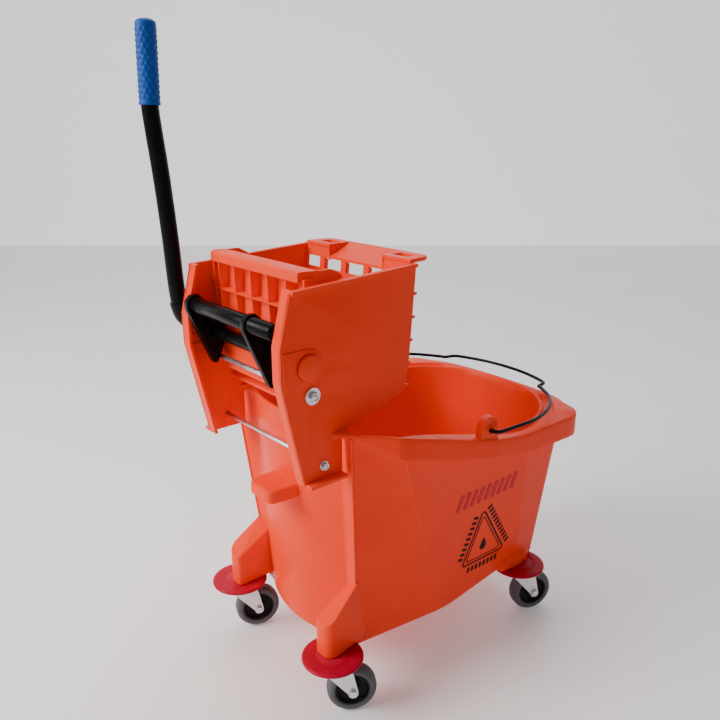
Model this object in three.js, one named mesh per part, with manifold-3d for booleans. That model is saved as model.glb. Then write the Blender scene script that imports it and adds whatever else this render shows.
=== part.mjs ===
// Mop bucket on four castors with a side-press wringer. Millimetres, +Z up.
// +X points to the pouring end with the bail, -X to the wringer end, +Y to the side with the press handle.
// The driving dimensions stand on a floor at z = 0; the last lines move the origin to the middle of the
// object's bounding box, on the floor.

import * as THREE from 'three';
import { mergeVertices } from 'three/addons/utils/BufferGeometryUtils.js';
import Module from 'manifold-3d';

const wasm = await Module();
wasm.setup();

// ---------- driving dimensions ----------

const ORIGIN_X = 18; // middle of the bounding box along X

// bucket
const BASE_Z = 76; // underside of the bucket
const SHOULDER_Z = 446; // rim height at the wringer end
const FRONT_RIM_Z = 380; // rim height at the pouring end
const WALL = 4.5;
const FLOOR = 6;
const LIP = 7; // thickness of the shelf round the mouth
const RIM_START_X = -177; // where the rim band begins, at the shoulder
const RIM_LEVEL_X = 150; // from here the rim is level
const BAND_DEPTHS = [[-400, 0.5], [RIM_START_X, 0.5], [-118, 33], [80, 30.5], [280, 39], [400, 39]];
const RIM_FRONT_X = 310;
const RIM_HALF_WIDTH = 207;
const RIM_CORNER_RADIUS = 38;
const SLOPE_START_X = 40; // from here the underside rises towards the front castors
const SLOPE_END_X = 152; // from here it is level with the castor mounts
const PAD_Z = 97; // underside of the castor mounts
const SEAT_GAP = 0.4; // between parts that rest on each other

// castors
const WHEEL_RADIUS = 37.5;
const WHEEL_WIDTH = 25;
const TYRE_INNER_RADIUS = 26;
const CASTOR_TRAIL = 28;
const BUMPER_RADIUS = 46;
const BUMPER_THICKNESS = 6;
const STEM_RADIUS = 5.5;
const AXLE_RADIUS = 4;
const CASTORS = [
  { name: 'rear_near', x: -197, y: -128, heading: -31 },
  { name: 'rear_far', x: -197, y: 128, heading: -22 },
  { name: 'front_near', x: 204, y: -152, heading: -22 },
  { name: 'front_far', x: 204, y: 152, heading: -22 },
];

// bail
const EAR_X = 45;
const EAR_Z = 410;
const EAR_RADIUS = 17;
const EAR_INNER_Y = 189;
const EAR_OUTER_Y = 202;
const BAIL_RADIUS = 3;
const BAIL_DROOP = 0.045; // fall of the bail per millimetre forward, at rest

// wringer
const PLATE_OUTER_Y = 126;
const PLATE_INNER_Y = 121;
const SHAFT = { x: -229, z: 547, radius: 10 };
const PIVOT_ROD = { x: -223, z: 507, radius: 4 };
const TIE_ROD = { x: -206, z: 404, radius: 3 };
const PUSH_BAR = { x: -262, z: 593, radius: 11 };
const ARM_Y = { near: -49, far: 100 };
const ARM_THICKNESS = 10;
const HANDLE_Y = 145;
const HANDLE_RADIUS = 12;
const GRIP_RADIUS = 14.5;
const GRIP_LENGTH = 108;
const PUSH_BAR_HALF = 105;
const PRESS_HALF_WIDTH = 113;
const RECESS_HALF = 60; // half width of the sloping recess in the top flange
const POCKET_PITCH = { across: 52.5, down: 33 }; // drain holes in the rear wall

// ---------- colours ----------

const ORANGE = { color: 0xe2502e, roughness: 0.38, metalness: 0 };
const RED = { color: 0xc31a2c, roughness: 0.45, metalness: 0 };
const BLACK_STEEL = { color: 0x161616, roughness: 0.4, metalness: 0.4 };
const ZINC = { color: 0xb9bcc0, roughness: 0.3, metalness: 1 };
const BLUE = { color: 0x1f5fae, roughness: 0.5, metalness: 0 };
const TYRE_GREY = { color: 0x6c6f73, roughness: 0.7, metalness: 0 };
const HUB_BLACK = { color: 0x1b1b1c, roughness: 0.5, metalness: 0 };

// ---------- solids ----------

const radians = THREE.MathUtils.degToRad;
const lerp = THREE.MathUtils.lerp;

function solid(geometry) {
  const bare = geometry.clone();
  for (const name of Object.keys(bare.attributes)) {
    if (name !== 'position') bare.deleteAttribute(name);
  }
  const merged = mergeVertices(bare, 1e-4);
  const vertProperties = new Float32Array(merged.attributes.position.array);
  const triVerts = new Uint32Array(merged.index.array);
  return new wasm.Manifold(new wasm.Mesh({ numProp: 3, vertProperties, triVerts }));
}

function geometryOf(shape) {
  const { vertProperties, triVerts } = shape.getMesh();
  const geometry = new THREE.BufferGeometry();
  geometry.setAttribute('position', new THREE.BufferAttribute(new Float32Array(vertProperties), 3));
  geometry.setIndex(new THREE.BufferAttribute(new Uint32Array(triVerts), 1));
  geometry.computeVertexNormals();
  return geometry;
}

function box(x0, x1, y0, y1, z0, z1) {
  const geometry = new THREE.BoxGeometry(x1 - x0, y1 - y0, z1 - z0);
  return solid(geometry.translate((x0 + x1) / 2, (y0 + y1) / 2, (z0 + z1) / 2));
}

// a cylinder along Y
function rodY(x, z, radius, y0, y1, sides = 24) {
  const geometry = new THREE.CylinderGeometry(radius, radius, y1 - y0, sides);
  return solid(geometry.translate(x, (y0 + y1) / 2, z));
}

// a cylinder along Z
function rodZ(x, y, radius, z0, z1, sides = 24) {
  const geometry = new THREE.CylinderGeometry(radius, radius, z1 - z0, sides).rotateX(Math.PI / 2);
  return solid(geometry.translate(x, y, (z0 + z1) / 2));
}

// an outline in the XZ plane, pushed along Y
function prismY(points, y0, y1) {
  const shape = new THREE.Shape(points.map(([x, z]) => new THREE.Vector2(x, z)));
  const geometry = new THREE.ExtrudeGeometry(shape, { depth: y1 - y0, bevelEnabled: false });
  return solid(geometry.rotateX(Math.PI / 2).translate(0, y1, 0));
}

// the same on the near side (side = -1) or the far side (side = 1), between two distances from the middle
function prismOnSide(points, side, inner, outer) {
  return side > 0 ? prismY(points, inner, outer) : prismY(points, -outer, -inner);
}

// an outline in the XY plane, pushed along Z
function prismZ(points, z0, z1) {
  const shape = new THREE.Shape(points.map(([x, y]) => new THREE.Vector2(x, y)));
  const geometry = new THREE.ExtrudeGeometry(shape, { depth: z1 - z0, bevelEnabled: false });
  return solid(geometry.translate(0, 0, z0));
}

// a turned part about Z: the profile is a list of [radius, z]
function turned(profile, sides = 32) {
  const points = profile.map(([radius, z]) => new THREE.Vector2(radius, z));
  return solid(new THREE.LatheGeometry(points, sides).rotateX(Math.PI / 2));
}

// a round bar along a curve
function bar(curve, radius, steps, sides = 10) {
  const section = new THREE.Shape(circle(0, 0, radius, sides).map(([x, y]) => new THREE.Vector2(x, y)));
  return solid(new THREE.ExtrudeGeometry(section, { steps, extrudePath: curve, bevelEnabled: false }));
}

// a body through closed outlines of equal length, from the lowest to the highest
function loft(sections) {
  const count = sections[0].length;
  const positions = sections.flat(2);
  const index = [];
  for (let level = 0; level + 1 < sections.length; level++) {
    for (let i = 0; i < count; i++) {
      const a = level * count + i;
      const b = level * count + ((i + 1) % count);
      index.push(a, b, b + count, a, b + count, a + count);
    }
  }
  const flat = sections[0].map(([x, y]) => new THREE.Vector2(x, y));
  const top = (sections.length - 1) * count;
  for (const [a, b, c] of THREE.ShapeUtils.triangulateShape(flat, [])) {
    index.push(a, c, b);
    index.push(top + a, top + b, top + c);
  }
  const geometry = new THREE.BufferGeometry();
  geometry.setAttribute('position', new THREE.Float32BufferAttribute(positions, 3));
  geometry.setIndex(index);
  return solid(geometry);
}

function circle(x, y, radius, sides, from = 0, to = 360) {
  const whole = to - from === 360;
  const count = whole ? sides : sides + 1;
  return Array.from({ length: count }, (_, i) => {
    const angle = radians(lerp(from, to, i / sides));
    return [x + radius * Math.cos(angle), y + radius * Math.sin(angle)];
  });
}

// the outline round a set of points, counter-clockwise
function hull(points) {
  const sorted = [...points].sort((a, b) => a[0] - b[0] || a[1] - b[1]);
  const turn = (o, a, b) => (a[0] - o[0]) * (b[1] - o[1]) - (a[1] - o[1]) * (b[0] - o[0]);
  const half = (list) => {
    const chain = [];
    for (const point of list) {
      while (chain.length > 1 && turn(chain.at(-2), chain.at(-1), point) <= 1e-6) chain.pop();
      chain.push(point);
    }
    return chain.slice(0, -1);
  };
  return [...half(sorted), ...half(sorted.reverse())];
}

function curveThrough(points) {
  return new THREE.CatmullRomCurve3(points.map((p) => new THREE.Vector3(...p)), false, 'centripetal');
}

const union = (...shapes) => shapes.reduce((a, b) => a.add(b));

// mirrors a half outline with y >= 0, listed from -X to +X, into a whole counter-clockwise one
function bothSides(half) {
  const near = half.map(([x, y]) => [x, -y]);
  const far = [...half].reverse().filter(([, y]) => y > 1e-6);
  return [...near, ...far];
}

// ---------- bucket ----------

const rimHeight = (x) => (
  SHOULDER_Z - (SHOULDER_Z - FRONT_RIM_Z) * THREE.MathUtils.smoothstep(x, RIM_START_X, RIM_LEVEL_X)
);

// a value read off a list of [x, value], straight between its entries
function readOff(list, x) {
  const next = list.findIndex(([at]) => at > x);
  const [[x0, a], [x1, b]] = [list[next - 1], list[next]];
  return lerp(a, b, (x - x0) / (x1 - x0));
}

const rise = (z) => (z - BASE_Z) / (SHOULDER_Z - BASE_Z);

// half outline of the outer wall at a height: a shallow bulge at the wringer end, a flat shoulder, a
// facet out to the slanting ridge, a flat side as far as a faint crease, and a rounded pouring end
function wallHalf(z) {
  const t = rise(z);
  const apex = lerp(-170, -193, t);
  const crease = [lerp(-143.5, -166, t), lerp(104, 112, t)];
  const shoulder = [lerp(-140, -177, t), lerp(118, 150, t)];
  const ridge = [lerp(15, -126, t), lerp(140, 190, t)];
  const fold = [lerp(202, 168, t), lerp(148, 187, t)];
  const corner = [lerp(236.9, 268.3, t), lerp(147, 176.7, t)];
  const front = lerp(262, 326.5, t);
  const points = [];
  for (let i = 0; i < 5; i++) {
    points.push([apex + (crease[0] - apex) * (i / 5) ** 2, (crease[1] * i) / 5]);
  }
  points.push(crease);
  const before = [lerp(shoulder[0], crease[0], 0.3), lerp(shoulder[1], crease[1], 0.3)];
  const after = [lerp(shoulder[0], ridge[0], 0.06), lerp(shoulder[1], ridge[1], 0.06)];
  for (const s of [0, 0.33, 0.67, 1]) {
    const first = [lerp(before[0], shoulder[0], s), lerp(before[1], shoulder[1], s)];
    const second = [lerp(shoulder[0], after[0], s), lerp(shoulder[1], after[1], s)];
    points.push([lerp(first[0], second[0], s), lerp(first[1], second[1], s)]);
  }
  points.push(ridge, fold);
  const end = new THREE.CubicBezierCurve(
    new THREE.Vector2(...corner), new THREE.Vector2(lerp(corner[0], front, 0.85), corner[1] - 3),
    new THREE.Vector2(front, corner[1] * 0.66), new THREE.Vector2(front, 0));
  points.push(...end.getPoints(9).map((p) => [p.x, p.y]));
  return points;
}

// the mouth is rounder than the wall below it: a half outline that trims the pouring end's corners
function mouthHalf(z) {
  const t = rise(z);
  const middle = 120;
  const reach = lerp(142, 206.5, t) - WALL;
  const width = lerp(144.5, 187.5, t) - WALL;
  const power = 2 / Math.max(5 - 3.23 * t, 2);
  const points = [[-300, 0], [-300, 240], [middle - 1, 240]];
  for (let i = 0; i <= 10; i++) {
    const angle = (Math.PI / 2) * (1 - i / 10);
    points.push([middle + reach * Math.cos(angle) ** power, width * Math.sin(angle) ** power]);
  }
  points[points.length - 1][1] = 0;
  return points;
}

// moves every point of a closed counter-clockwise outline inwards
function inset(outline, distance) {
  const count = outline.length;
  return outline.map((point, i) => {
    const before = outline[(i + count - 1) % count];
    const after = outline[(i + 1) % count];
    const d1 = new THREE.Vector2(point[0] - before[0], point[1] - before[1]).normalize();
    const d2 = new THREE.Vector2(after[0] - point[0], after[1] - point[1]).normalize();
    const along = d1.add(d2).normalize();
    return [point[0] - along.y * distance, point[1] + along.x * distance];
  });
}

function loftThrough(zs, outlineAt) {
  return loft(zs.map((z) => outlineAt(z).map(([x, y]) => [x, y, z])));
}

// everything under the rim line shifted down by drop(x), as a block
function underRim(drop) {
  const stations = [360, 280, 216, RIM_LEVEL_X, 122, 92, 60, 28, -4, -36, -66, -94, -118, -136, -158,
    RIM_START_X, -260];
  const line = stations.map((x) => [x, rimHeight(x) - drop(x)]);
  return prismY([[-260, 20], [360, 20], ...line], -260, 260);
}

function rimOutline() {
  const half = [[-150, 0], [-150, 140], [-176, 149.4], [-118, 195]];
  const side = new THREE.QuadraticBezierCurve(new THREE.Vector2(-118, 195),
    new THREE.Vector2(0, RIM_HALF_WIDTH - 2), new THREE.Vector2(150, RIM_HALF_WIDTH));
  half.push(...side.getPoints(7).slice(1).map((p) => [p.x, p.y]));
  const corner = [250, RIM_HALF_WIDTH - 3.5 - RIM_CORNER_RADIUS];
  half.push(...circle(corner[0], corner[1], RIM_CORNER_RADIUS, 6, 90, 18));
  for (const y of [150, 117, 80, 40, 0]) {
    half.push([RIM_FRONT_X - 22 * (y / 180) ** 2, y]);
  }
  return bothSides(half);
}

// a rear castor's post: rounded at its tip, under a folded roof that climbs to the shoulder
function rearPost(side) {
  const tip = [...circle(-197, 124, 14, 4, 90, 180), [-211, 104]];
  const outline = [[-120, 104], [-120, 118], [-150, 131], ...tip];
  const outer = ([x, y]) => 152 + 0.056 * (y - 140) + 0.869 * (x + 211);
  const inner = ([x, y]) => 150 + 0.549 * (x + 211) + 0.597 * (y - 104);
  const low = outline.map(([x, y]) => [x, side * y, PAD_Z]);
  const high = outline.map(([x, y]) => [x, side * y, Math.min(outer([x, y]), inner([x, y]), 205)]);
  return wasm.Manifold.hull([...low, ...high]);
}

// a front castor's mount bulges from the foot of the side wall
function frontPad(side) {
  const foot = [[156, 110], [156, 156], [190, 161], [224, 158], [250, 137], [246, 110]];
  const head = [[162, 110], [162, 149], [190, 153], [220, 150], [240, 131], [238, 110]];
  const level = (line, z) => line.map(([x, y]) => [x, side * y, z]);
  return wasm.Manifold.hull([...level(foot, PAD_Z), ...level(foot, 110), ...level(head, 122)]);
}

// everything below the underside, raised by lift
function underside(lift) {
  const points = [[-260, 20], [360, 20], [360, PAD_Z + lift], [SLOPE_END_X, PAD_Z + lift],
    [SLOPE_START_X, BASE_Z + lift], [-260, BASE_Z + lift]];
  return prismY(points, -260, 260);
}

function ear(side) {
  const outline = hull([...circle(EAR_X, EAR_Z + 4, EAR_RADIUS, 18), [EAR_X - 20, 392], [EAR_X + 20, 390]]);
  return prismOnSide(outline, side, EAR_INNER_Y, EAR_OUTER_Y);
}

// the tilting grip on the wringer end
function tiltTab() {
  const corners = [...circle(-218, 17, 13, 4, 90, 180), ...circle(-218, -17, 13, 4, 180, 270)];
  const outline = [[-150, 34], ...corners, [-150, -34]];
  return prismZ(outline, 310, 332);
}

function bucketShape() {
  const levels = [BASE_Z, 170, 270, 370, 480];
  const underLine = underRim(() => 0);
  const block = loftThrough(levels, (z) => bothSides(wallHalf(z)))
    .intersect(underLine).subtract(underside(0));
  const band = prismZ(rimOutline(), 300, 470).intersect(underLine)
    .subtract(underRim((x) => readOff(BAND_DEPTHS, x)));
  const mouth = union(loftThrough(levels, (z) => bothSides(mouthHalf(z))), underRim(() => LIP));
  const cavity = loftThrough(levels, (z) => inset(bothSides(wallHalf(z)), WALL))
    .intersect(mouth).subtract(underside(FLOOR));
  const outside = union(block, band, rearPost(-1), rearPost(1), frontPad(-1), frontPad(1), tiltTab());
  const shell = outside.subtract(cavity);
  const frontCastors = CASTORS.filter(({ x }) => x > 0);
  const bosses = union(...frontCastors.map(({ x, y }) => rodZ(x, y, 14, PAD_Z, 118))).intersect(outside);
  const holes = CASTORS.map(({ x, y }) => rodZ(x, y, STEM_RADIUS + 0.3, PAD_Z - 5, 114, 16));
  const pivots = rodY(EAR_X, EAR_Z, BAIL_RADIUS + 1, -260, 260, 16);
  return union(shell, bosses, ear(-1), ear(1)).subtract(union(...holes, pivots));
}

// ---------- castors ----------

function bumperShape() {
  const edge = BUMPER_THICKNESS / 2;
  const low = PAD_Z - SEAT_GAP - BUMPER_THICKNESS;
  const rim = circle(BUMPER_RADIUS - edge, low + edge, edge, 3, -90, 90);
  const hole = STEM_RADIUS + 0.3;
  return turned([[hole, low], ...rim, [hole, low + BUMPER_THICKNESS], [hole, low]], 28);
}

function stemShape() {
  const low = PAD_Z - SEAT_GAP * 2 - BUMPER_THICKNESS;
  return turned([[0, low - 6], [15, low - 6], [17, low - 4.5], [17, low], [STEM_RADIUS, low],
    [STEM_RADIUS, 112.5], [0, 112.5]], 16);
}

// the fork stands over the wheel with its legs leaning back to the axle, in the castor's own frame
function forkShape() {
  const top = PAD_Z - SEAT_GAP * 3 - BUMPER_THICKNESS - 6;
  const sheet = 3;
  const inner = WHEEL_WIDTH / 2 + 2.2;
  const crown = rodZ(0, 0, 19, top - sheet, top, 20);
  const bridge = box(-13, 24, -inner - sheet, inner + sheet, top - sheet, top);
  let fork = crown.add(bridge);
  for (const side of [-1, 1]) {
    const y0 = side > 0 ? inner : -inner - sheet;
    const leg = hull([[-13, top], [24, top], [-13, top - 8], ...circle(CASTOR_TRAIL, WHEEL_RADIUS, 8, 12),
      [29, top - 14]]);
    fork = fork.add(prismY(leg, y0, y0 + sheet));
  }
  return fork.subtract(rodY(CASTOR_TRAIL, WHEEL_RADIUS, AXLE_RADIUS + 0.3, -30, 30, 12));
}

function axleShape() {
  const out = WHEEL_WIDTH / 2 + 2.2 + 3 + 0.3;
  const shank = rodY(CASTOR_TRAIL, WHEEL_RADIUS, AXLE_RADIUS, -out - 3, out + 3, 12);
  const head = rodY(CASTOR_TRAIL, WHEEL_RADIUS, 6.6, out, out + 4, 6);
  const nut = rodY(CASTOR_TRAIL, WHEEL_RADIUS, 6.6, -out - 4, -out, 6);
  return union(shank, head, nut);
}

// wheel parts turn about Y through the wheel's centre
function wheelPart(profile, sides) {
  const half = profile.map(([radius, y]) => new THREE.Vector2(radius, y));
  return solid(new THREE.LatheGeometry(half, sides));
}

function tyreShape() {
  const half = WHEEL_WIDTH / 2;
  return wheelPart([[TYRE_INNER_RADIUS, -half], [33, -half], [WHEEL_RADIUS, -half + 6],
    [WHEEL_RADIUS, half - 6], [33, half], [TYRE_INNER_RADIUS, half], [TYRE_INNER_RADIUS, -half]], 28);
}

function hubShape() {
  const half = WHEEL_WIDTH / 2 - 1.5;
  const bore = AXLE_RADIUS + 0.3;
  const outer = TYRE_INNER_RADIUS - 0.3;
  return wheelPart([[bore, -half - 1.5], [10, -half - 1.5], [outer, -half + 2], [outer, half - 2],
    [10, half + 1.5], [bore, half + 1.5], [bore, -half - 1.5]], 20);
}

// ---------- bail ----------

function bailShape() {
  const half = [[-4, 185], [-4, 196], [-4, 206.5], [-1.5, 212.5], [8, 215], [41, 215], [79, 214],
    [115, 206.5], [148, 194], [178, 177], [205, 153], [228, 122], [234, 112], [249, 109], [259, 103],
    [270, 78], [280, 40], [283, 0]];
  const lift = (x) => -x * BAIL_DROOP;
  const points = [...half.map(([x, y]) => [x, -y]), ...half.slice(0, -1).reverse()];
  const path = curveThrough(points.map(([x, y]) => [EAR_X + x + 4, y, EAR_Z + lift(x + 4)]));
  return bar(path, BAIL_RADIUS, 72, 6);
}

// ---------- wringer ----------

const PLATE_OUTLINE = [[-237, 381], [-174, 381], [-174, SHOULDER_Z + SEAT_GAP], [-150, SHOULDER_Z + SEAT_GAP],
  [-58, 476], [-50, 526], [-40, 657], [-252, 647], [-270, 578], [-270, 530]];

function sidePlate(side) {
  const slab = (points, inner, outer) => prismOnSide(points, side, inner, outer);
  const plate = slab(PLATE_OUTLINE, PLATE_INNER_Y, PLATE_OUTER_Y);
  const front = [[-237, 381], [-270, 530], [-270, 578], [-252, 647]];
  const strip = [...front, ...front.map(([x, z]) => [x + 4.5, z + 0.5]).reverse()].reverse();
  const flange = slab(strip, 107, PLATE_OUTER_Y);
  const foot = slab([[-237, 381], [-174, 381], [-174, 385.5], [-236, 385.5]], PLATE_OUTER_Y - 1, 139);
  const lip = slab([[-252, 647], [-40, 657], [-40, 652], [-251, 642]].reverse(), PLATE_INNER_Y, 129.5);
  const padOutline = hull([[-266, 525], [-266, 571], ...circle(SHAFT.x, SHAFT.z, 24, 20)]);
  const pad = slab(padOutline, PLATE_OUTER_Y - 1, 127.5);
  return union(plate, flange, foot, lip, pad);
}

// the rear wall leans in towards its foot and is pierced for draining
function rearWall() {
  const half = PLATE_INNER_Y + 1;
  const wall = prismY([[-44, 656], [-62, 476], [-57.5, 476], [-39.5, 656]], -half, half);
  let body = wall.subtract(box(-70, -30, -RECESS_HALF, RECESS_HALF, 641, 670));
  for (let row = 0; row < 5; row++) {
    const z = 614.5 - row * POCKET_PITCH.down;
    const x = lerp(-58, -40, (z - 476) / 180);
    body = body.add(box(x - 1, x + 7, -PLATE_OUTER_Y, PLATE_OUTER_Y, z - 2.5, z + 2.5));
  }
  for (let rib = -1.5; rib <= 1.5; rib++) {
    const y = rib * POCKET_PITCH.across;
    body = body.add(prismY([[-41, 636], [-57, 480], [-51, 480], [-35, 636]], y - 2.5, y + 2.5));
  }
  const holes = [];
  for (let row = 0; row < 5; row++) {
    for (let column = -2; column <= 2; column++) {
      const z = 631 - row * POCKET_PITCH.down;
      const y0 = Math.max(column * POCKET_PITCH.across - 20, -117);
      const y1 = Math.min(column * POCKET_PITCH.across + 20, 117);
      holes.push(box(-80, -20, y0, y1, z - 8.5, z + 8.5));
    }
  }
  return body.subtract(union(...holes));
}

// flat at its ends, with a recess between them that slopes down to the pierced wall
function topFlange() {
  const corners = [...circle(-22, -92, 22, 6, 270, 360), ...circle(-22, 92, 22, 6, 0, 90)];
  const flat = prismZ([[-46, -114], ...corners, [-46, 114]], 656, 662);
  const slope = prismY([[-46, 639.5], [-40, 639.5], [0, 655], [0, 662], [-5, 662], [-46, 643.5]],
    -RECESS_HALF - 1, RECESS_HALF + 1);
  let flange = flat.subtract(box(-60, -3, -RECESS_HALF, RECESS_HALF, 650, 670)).add(slope);
  for (const side of [-1, 1]) {
    const web = [[-46, 636], [-4, 656], [-4, 662], [-46, 662]];
    flange = flange.add(prismOnSide(web, side, RECESS_HALF, RECESS_HALF + 3));
  }
  for (const side of [-1, 1]) {
    flange = flange.subtract(box(-33, -14, side > 0 ? 68 : -98, side > 0 ? 98 : -68, 650, 670));
  }
  return flange;
}

function drainFloor() {
  const half = PLATE_INNER_Y + 1;
  const floor = prismY([[-196, 464], [-60, 474], [-60, 478.5], [-196, 468.5]], -half, half);
  const slots = [];
  for (let column = -3; column <= 3; column++) {
    slots.push(box(-180, -128, column * 30 - 8, column * 30 + 8, 450, 490));
    slots.push(box(-118, -72, column * 30 - 8, column * 30 + 8, 450, 490));
  }
  return floor.subtract(union(...slots));
}

function wringerShape() {
  const body = union(sidePlate(-1), sidePlate(1), rearWall(), topFlange(), drainFloor());
  const holes = union(
    rodY(SHAFT.x, SHAFT.z, 13.3, -200, 200, 28),
    rodY(PIVOT_ROD.x, PIVOT_ROD.z, PIVOT_ROD.radius + 0.3, -200, 200, 16),
    rodY(TIE_ROD.x, TIE_ROD.z, TIE_ROD.radius + 0.3, -200, 200, 16));
  return body.subtract(holes);
}

function pressPlateShape() {
  const w = PRESS_HALF_WIDTH;
  const web = prismY([[-214, 488], [-209.5, 488], [-200, 655], [-204.5, 655]], -w, w);
  const section = [[-226, 650.5], [-206, 649], [-200, 651], [-200, 665], [-206, 665.5], [-222, 664.5],
    [-226, 662.5]];
  const plan = [[-227, -w + 9], [-204, -w], [-200, -w], [-200, w], [-203, w], [-215, w + 6], [-227, w - 3]];
  const lip = prismY(section, -w - 10, w + 10).intersect(prismZ(plan, 640, 670));
  let plate = web.add(lip);
  // the ribs and cheeks are cut back where the shaft's springs and arms pass
  const rib = [[-213, 500], [-205, 500], [-202, 654], [-222, 654], [-218, 580], [-211.5, 566], [-211.5, 530]];
  for (const y of [-70, -27.5, 14, 55.5, 97]) {
    plate = plate.add(prismY(rib, y - 1.8, y + 1.8));
  }
  plate = plate.add(box(-219, -203, -w, w, 608.5, 612.5));
  for (const side of [-1, 1]) {
    const y0 = side > 0 ? w - 4 : -w;
    const lug = hull([...circle(PIVOT_ROD.x, PIVOT_ROD.z, 9, 16), [-207, 490], [-207, 522]]);
    plate = plate.add(prismY(lug, y0, y0 + 4)).add(prismY(rib, y0, y0 + 4));
    const wing = [[-204, 665], [-204, 641], [-160, 650.5], [-163, 656], [-178, 664]];
    plate = plate.add(prismY(wing, y0, y0 + 4));
  }
  plate = plate.add(box(-222, -210, w - 1, w + 5, 620, 630));
  return plate.subtract(rodY(PIVOT_ROD.x, PIVOT_ROD.z, PIVOT_ROD.radius + 0.3, -200, 200, 16));
}

// ---------- press mechanism ----------

function shaftShape() {
  return rodY(SHAFT.x, SHAFT.z, SHAFT.radius, -129, HANDLE_Y + 10, 24);
}

function armShape(y) {
  const boss = circle(PUSH_BAR.x, PUSH_BAR.z, 15, 8, 22.5, 337.5);
  const heel = circle(SHAFT.x, SHAFT.z - 2, 16.5, 20);
  const outline = hull([...boss, ...heel, ...circle(-234.5, 505.5, 5.5, 12)]);
  const arm = prismY(outline, y - ARM_THICKNESS / 2, y + ARM_THICKNESS / 2);
  const shaftHole = rodY(SHAFT.x, SHAFT.z, SHAFT.radius + 0.3, -200, 200, 24);
  const barHole = rodY(PUSH_BAR.x, PUSH_BAR.z, PUSH_BAR.radius + 0.3, -200, 200, 24);
  return arm.subtract(shaftHole).subtract(barHole);
}

function pushBarShape() {
  return rodY(PUSH_BAR.x, PUSH_BAR.z, PUSH_BAR.radius, -PUSH_BAR_HALF, PUSH_BAR_HALF, 24);
}

// the near bush is closed by its cap, the far one lets the shaft through
function bushShape(side) {
  const bore = SHAFT.radius + 0.3;
  const start = PLATE_INNER_Y - 3;
  const seat = PLATE_OUTER_Y + 1.8;
  const profile = side < 0
    ? [[0, -133], [15.5, -133], [17, -131.5], [17, -seat], [13, -seat], [13, -start], [bore, -start],
      [bore, -129.3], [0, -129.3]]
    : [[13, start], [13, seat], [17, seat], [17, 130], [bore, 130], [bore, start], [13, start]];
  const points = profile.map(([radius, y]) => new THREE.Vector2(radius, y));
  return solid(new THREE.LatheGeometry(points, 28).translate(SHAFT.x, 0, SHAFT.z));
}

// a torsion spring round the shaft with two short legs
function springShape(y, length, turns) {
  const points = [];
  for (let i = 0; i <= 36; i++) {
    const angle = radians(150) + (2 * Math.PI * turns * i) / 36;
    points.push([SHAFT.x + 13.4 * Math.cos(angle), y + (i / 36) * length, SHAFT.z + 13.4 * Math.sin(angle)]);
  }
  const end = y + length + 0.4;
  points.unshift([-247, y - 0.4, 567], [-244.6, y - 0.2, 561]);
  points.push([-234, end, 527], [-232, end, 519]);
  return bar(curveThrough(points), 1.2, 52, 4);
}

const HANDLE_PATH = [[-246, 558], [-257, 570], [-263, 590], [-266, 620], [-269, 680], [-275, 764],
  [-281.4, 830], [-284, 864], [-282.9, 902], [-281.4, 962]];

function handleTubeShape() {
  const path = curveThrough(HANDLE_PATH.map(([x, z]) => [x, HANDLE_Y, z]));
  return bar(path, HANDLE_RADIUS, 24, 14);
}

function handleSocketShape() {
  const hub = rodY(SHAFT.x, SHAFT.z, 18, 132, HANDLE_Y + 13, 28);
  const sleeve = bar(curveThrough([[-233, HANDLE_Y, 549], [-246, HANDLE_Y, 558], [-257, HANDLE_Y, 570],
    [-263, HANDLE_Y, 590]]), 14.6, 8, 16);
  const bore = bar(curveThrough([[-245.2, HANDLE_Y, 557.2], [-246, HANDLE_Y, 558], [-257, HANDLE_Y, 570],
    [-263, HANDLE_Y, 590], [-266, HANDLE_Y, 620]]), HANDLE_RADIUS + 0.5, 10, 14);
  const shaftHole = rodY(SHAFT.x, SHAFT.z, SHAFT.radius + 0.3, 100, HANDLE_Y + 10.4, 24);
  return hub.add(sleeve).subtract(bore).subtract(shaftHole);
}

// the grip is a sleeve over the tube's end, closed by a domed tip
function gripShape() {
  const bore = HANDLE_RADIUS + 0.6;
  const profile = [[bore, 0], [GRIP_RADIUS, 0], [GRIP_RADIUS + 0.5, 3], [GRIP_RADIUS, 6],
    [GRIP_RADIUS, GRIP_LENGTH - 7], [GRIP_RADIUS - 2, GRIP_LENGTH - 2], [GRIP_RADIUS - 7, GRIP_LENGTH],
    [0, GRIP_LENGTH], [0, GRIP_LENGTH - 6], [bore, GRIP_LENGTH - 6], [bore, 0]];
  return turned(profile, 20);
}

// a washer (24 sides) or a nut (6 sides) on a rod
function ringOnRod(rod, radius, y0, y1, sides) {
  const hole = rodY(rod.x, rod.z, rod.radius + 0.3, y0 - 1, y1 + 1, 16);
  return rodY(rod.x, rod.z, radius, y0, y1, sides).subtract(hole);
}

// ---------- assembly ----------

const object = new THREE.Group();

function add(name, shape, look, parent = object) {
  const mesh = new THREE.Mesh(geometryOf(shape), new THREE.MeshStandardMaterial(look));
  mesh.name = name;
  parent.add(mesh);
  return mesh;
}

function addCastor({ name, x, y, heading }) {
  const mount = new THREE.Group();
  mount.position.set(x, y, 0);
  add(`castor_${name}_bumper`, bumperShape(), RED, mount);
  add(`castor_${name}_stem`, stemShape(), ZINC, mount);
  const swivel = new THREE.Group();
  swivel.rotation.z = radians(heading);
  add(`castor_${name}_fork`, forkShape(), ZINC, swivel);
  add(`castor_${name}_axle`, axleShape(), ZINC, swivel);
  const wheel = new THREE.Group();
  wheel.position.set(CASTOR_TRAIL, 0, WHEEL_RADIUS);
  add(`castor_${name}_tyre`, tyreShape(), TYRE_GREY, wheel);
  add(`castor_${name}_hub`, hubShape(), HUB_BLACK, wheel);
  swivel.add(wheel);
  mount.add(swivel);
  object.add(mount);
}

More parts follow.
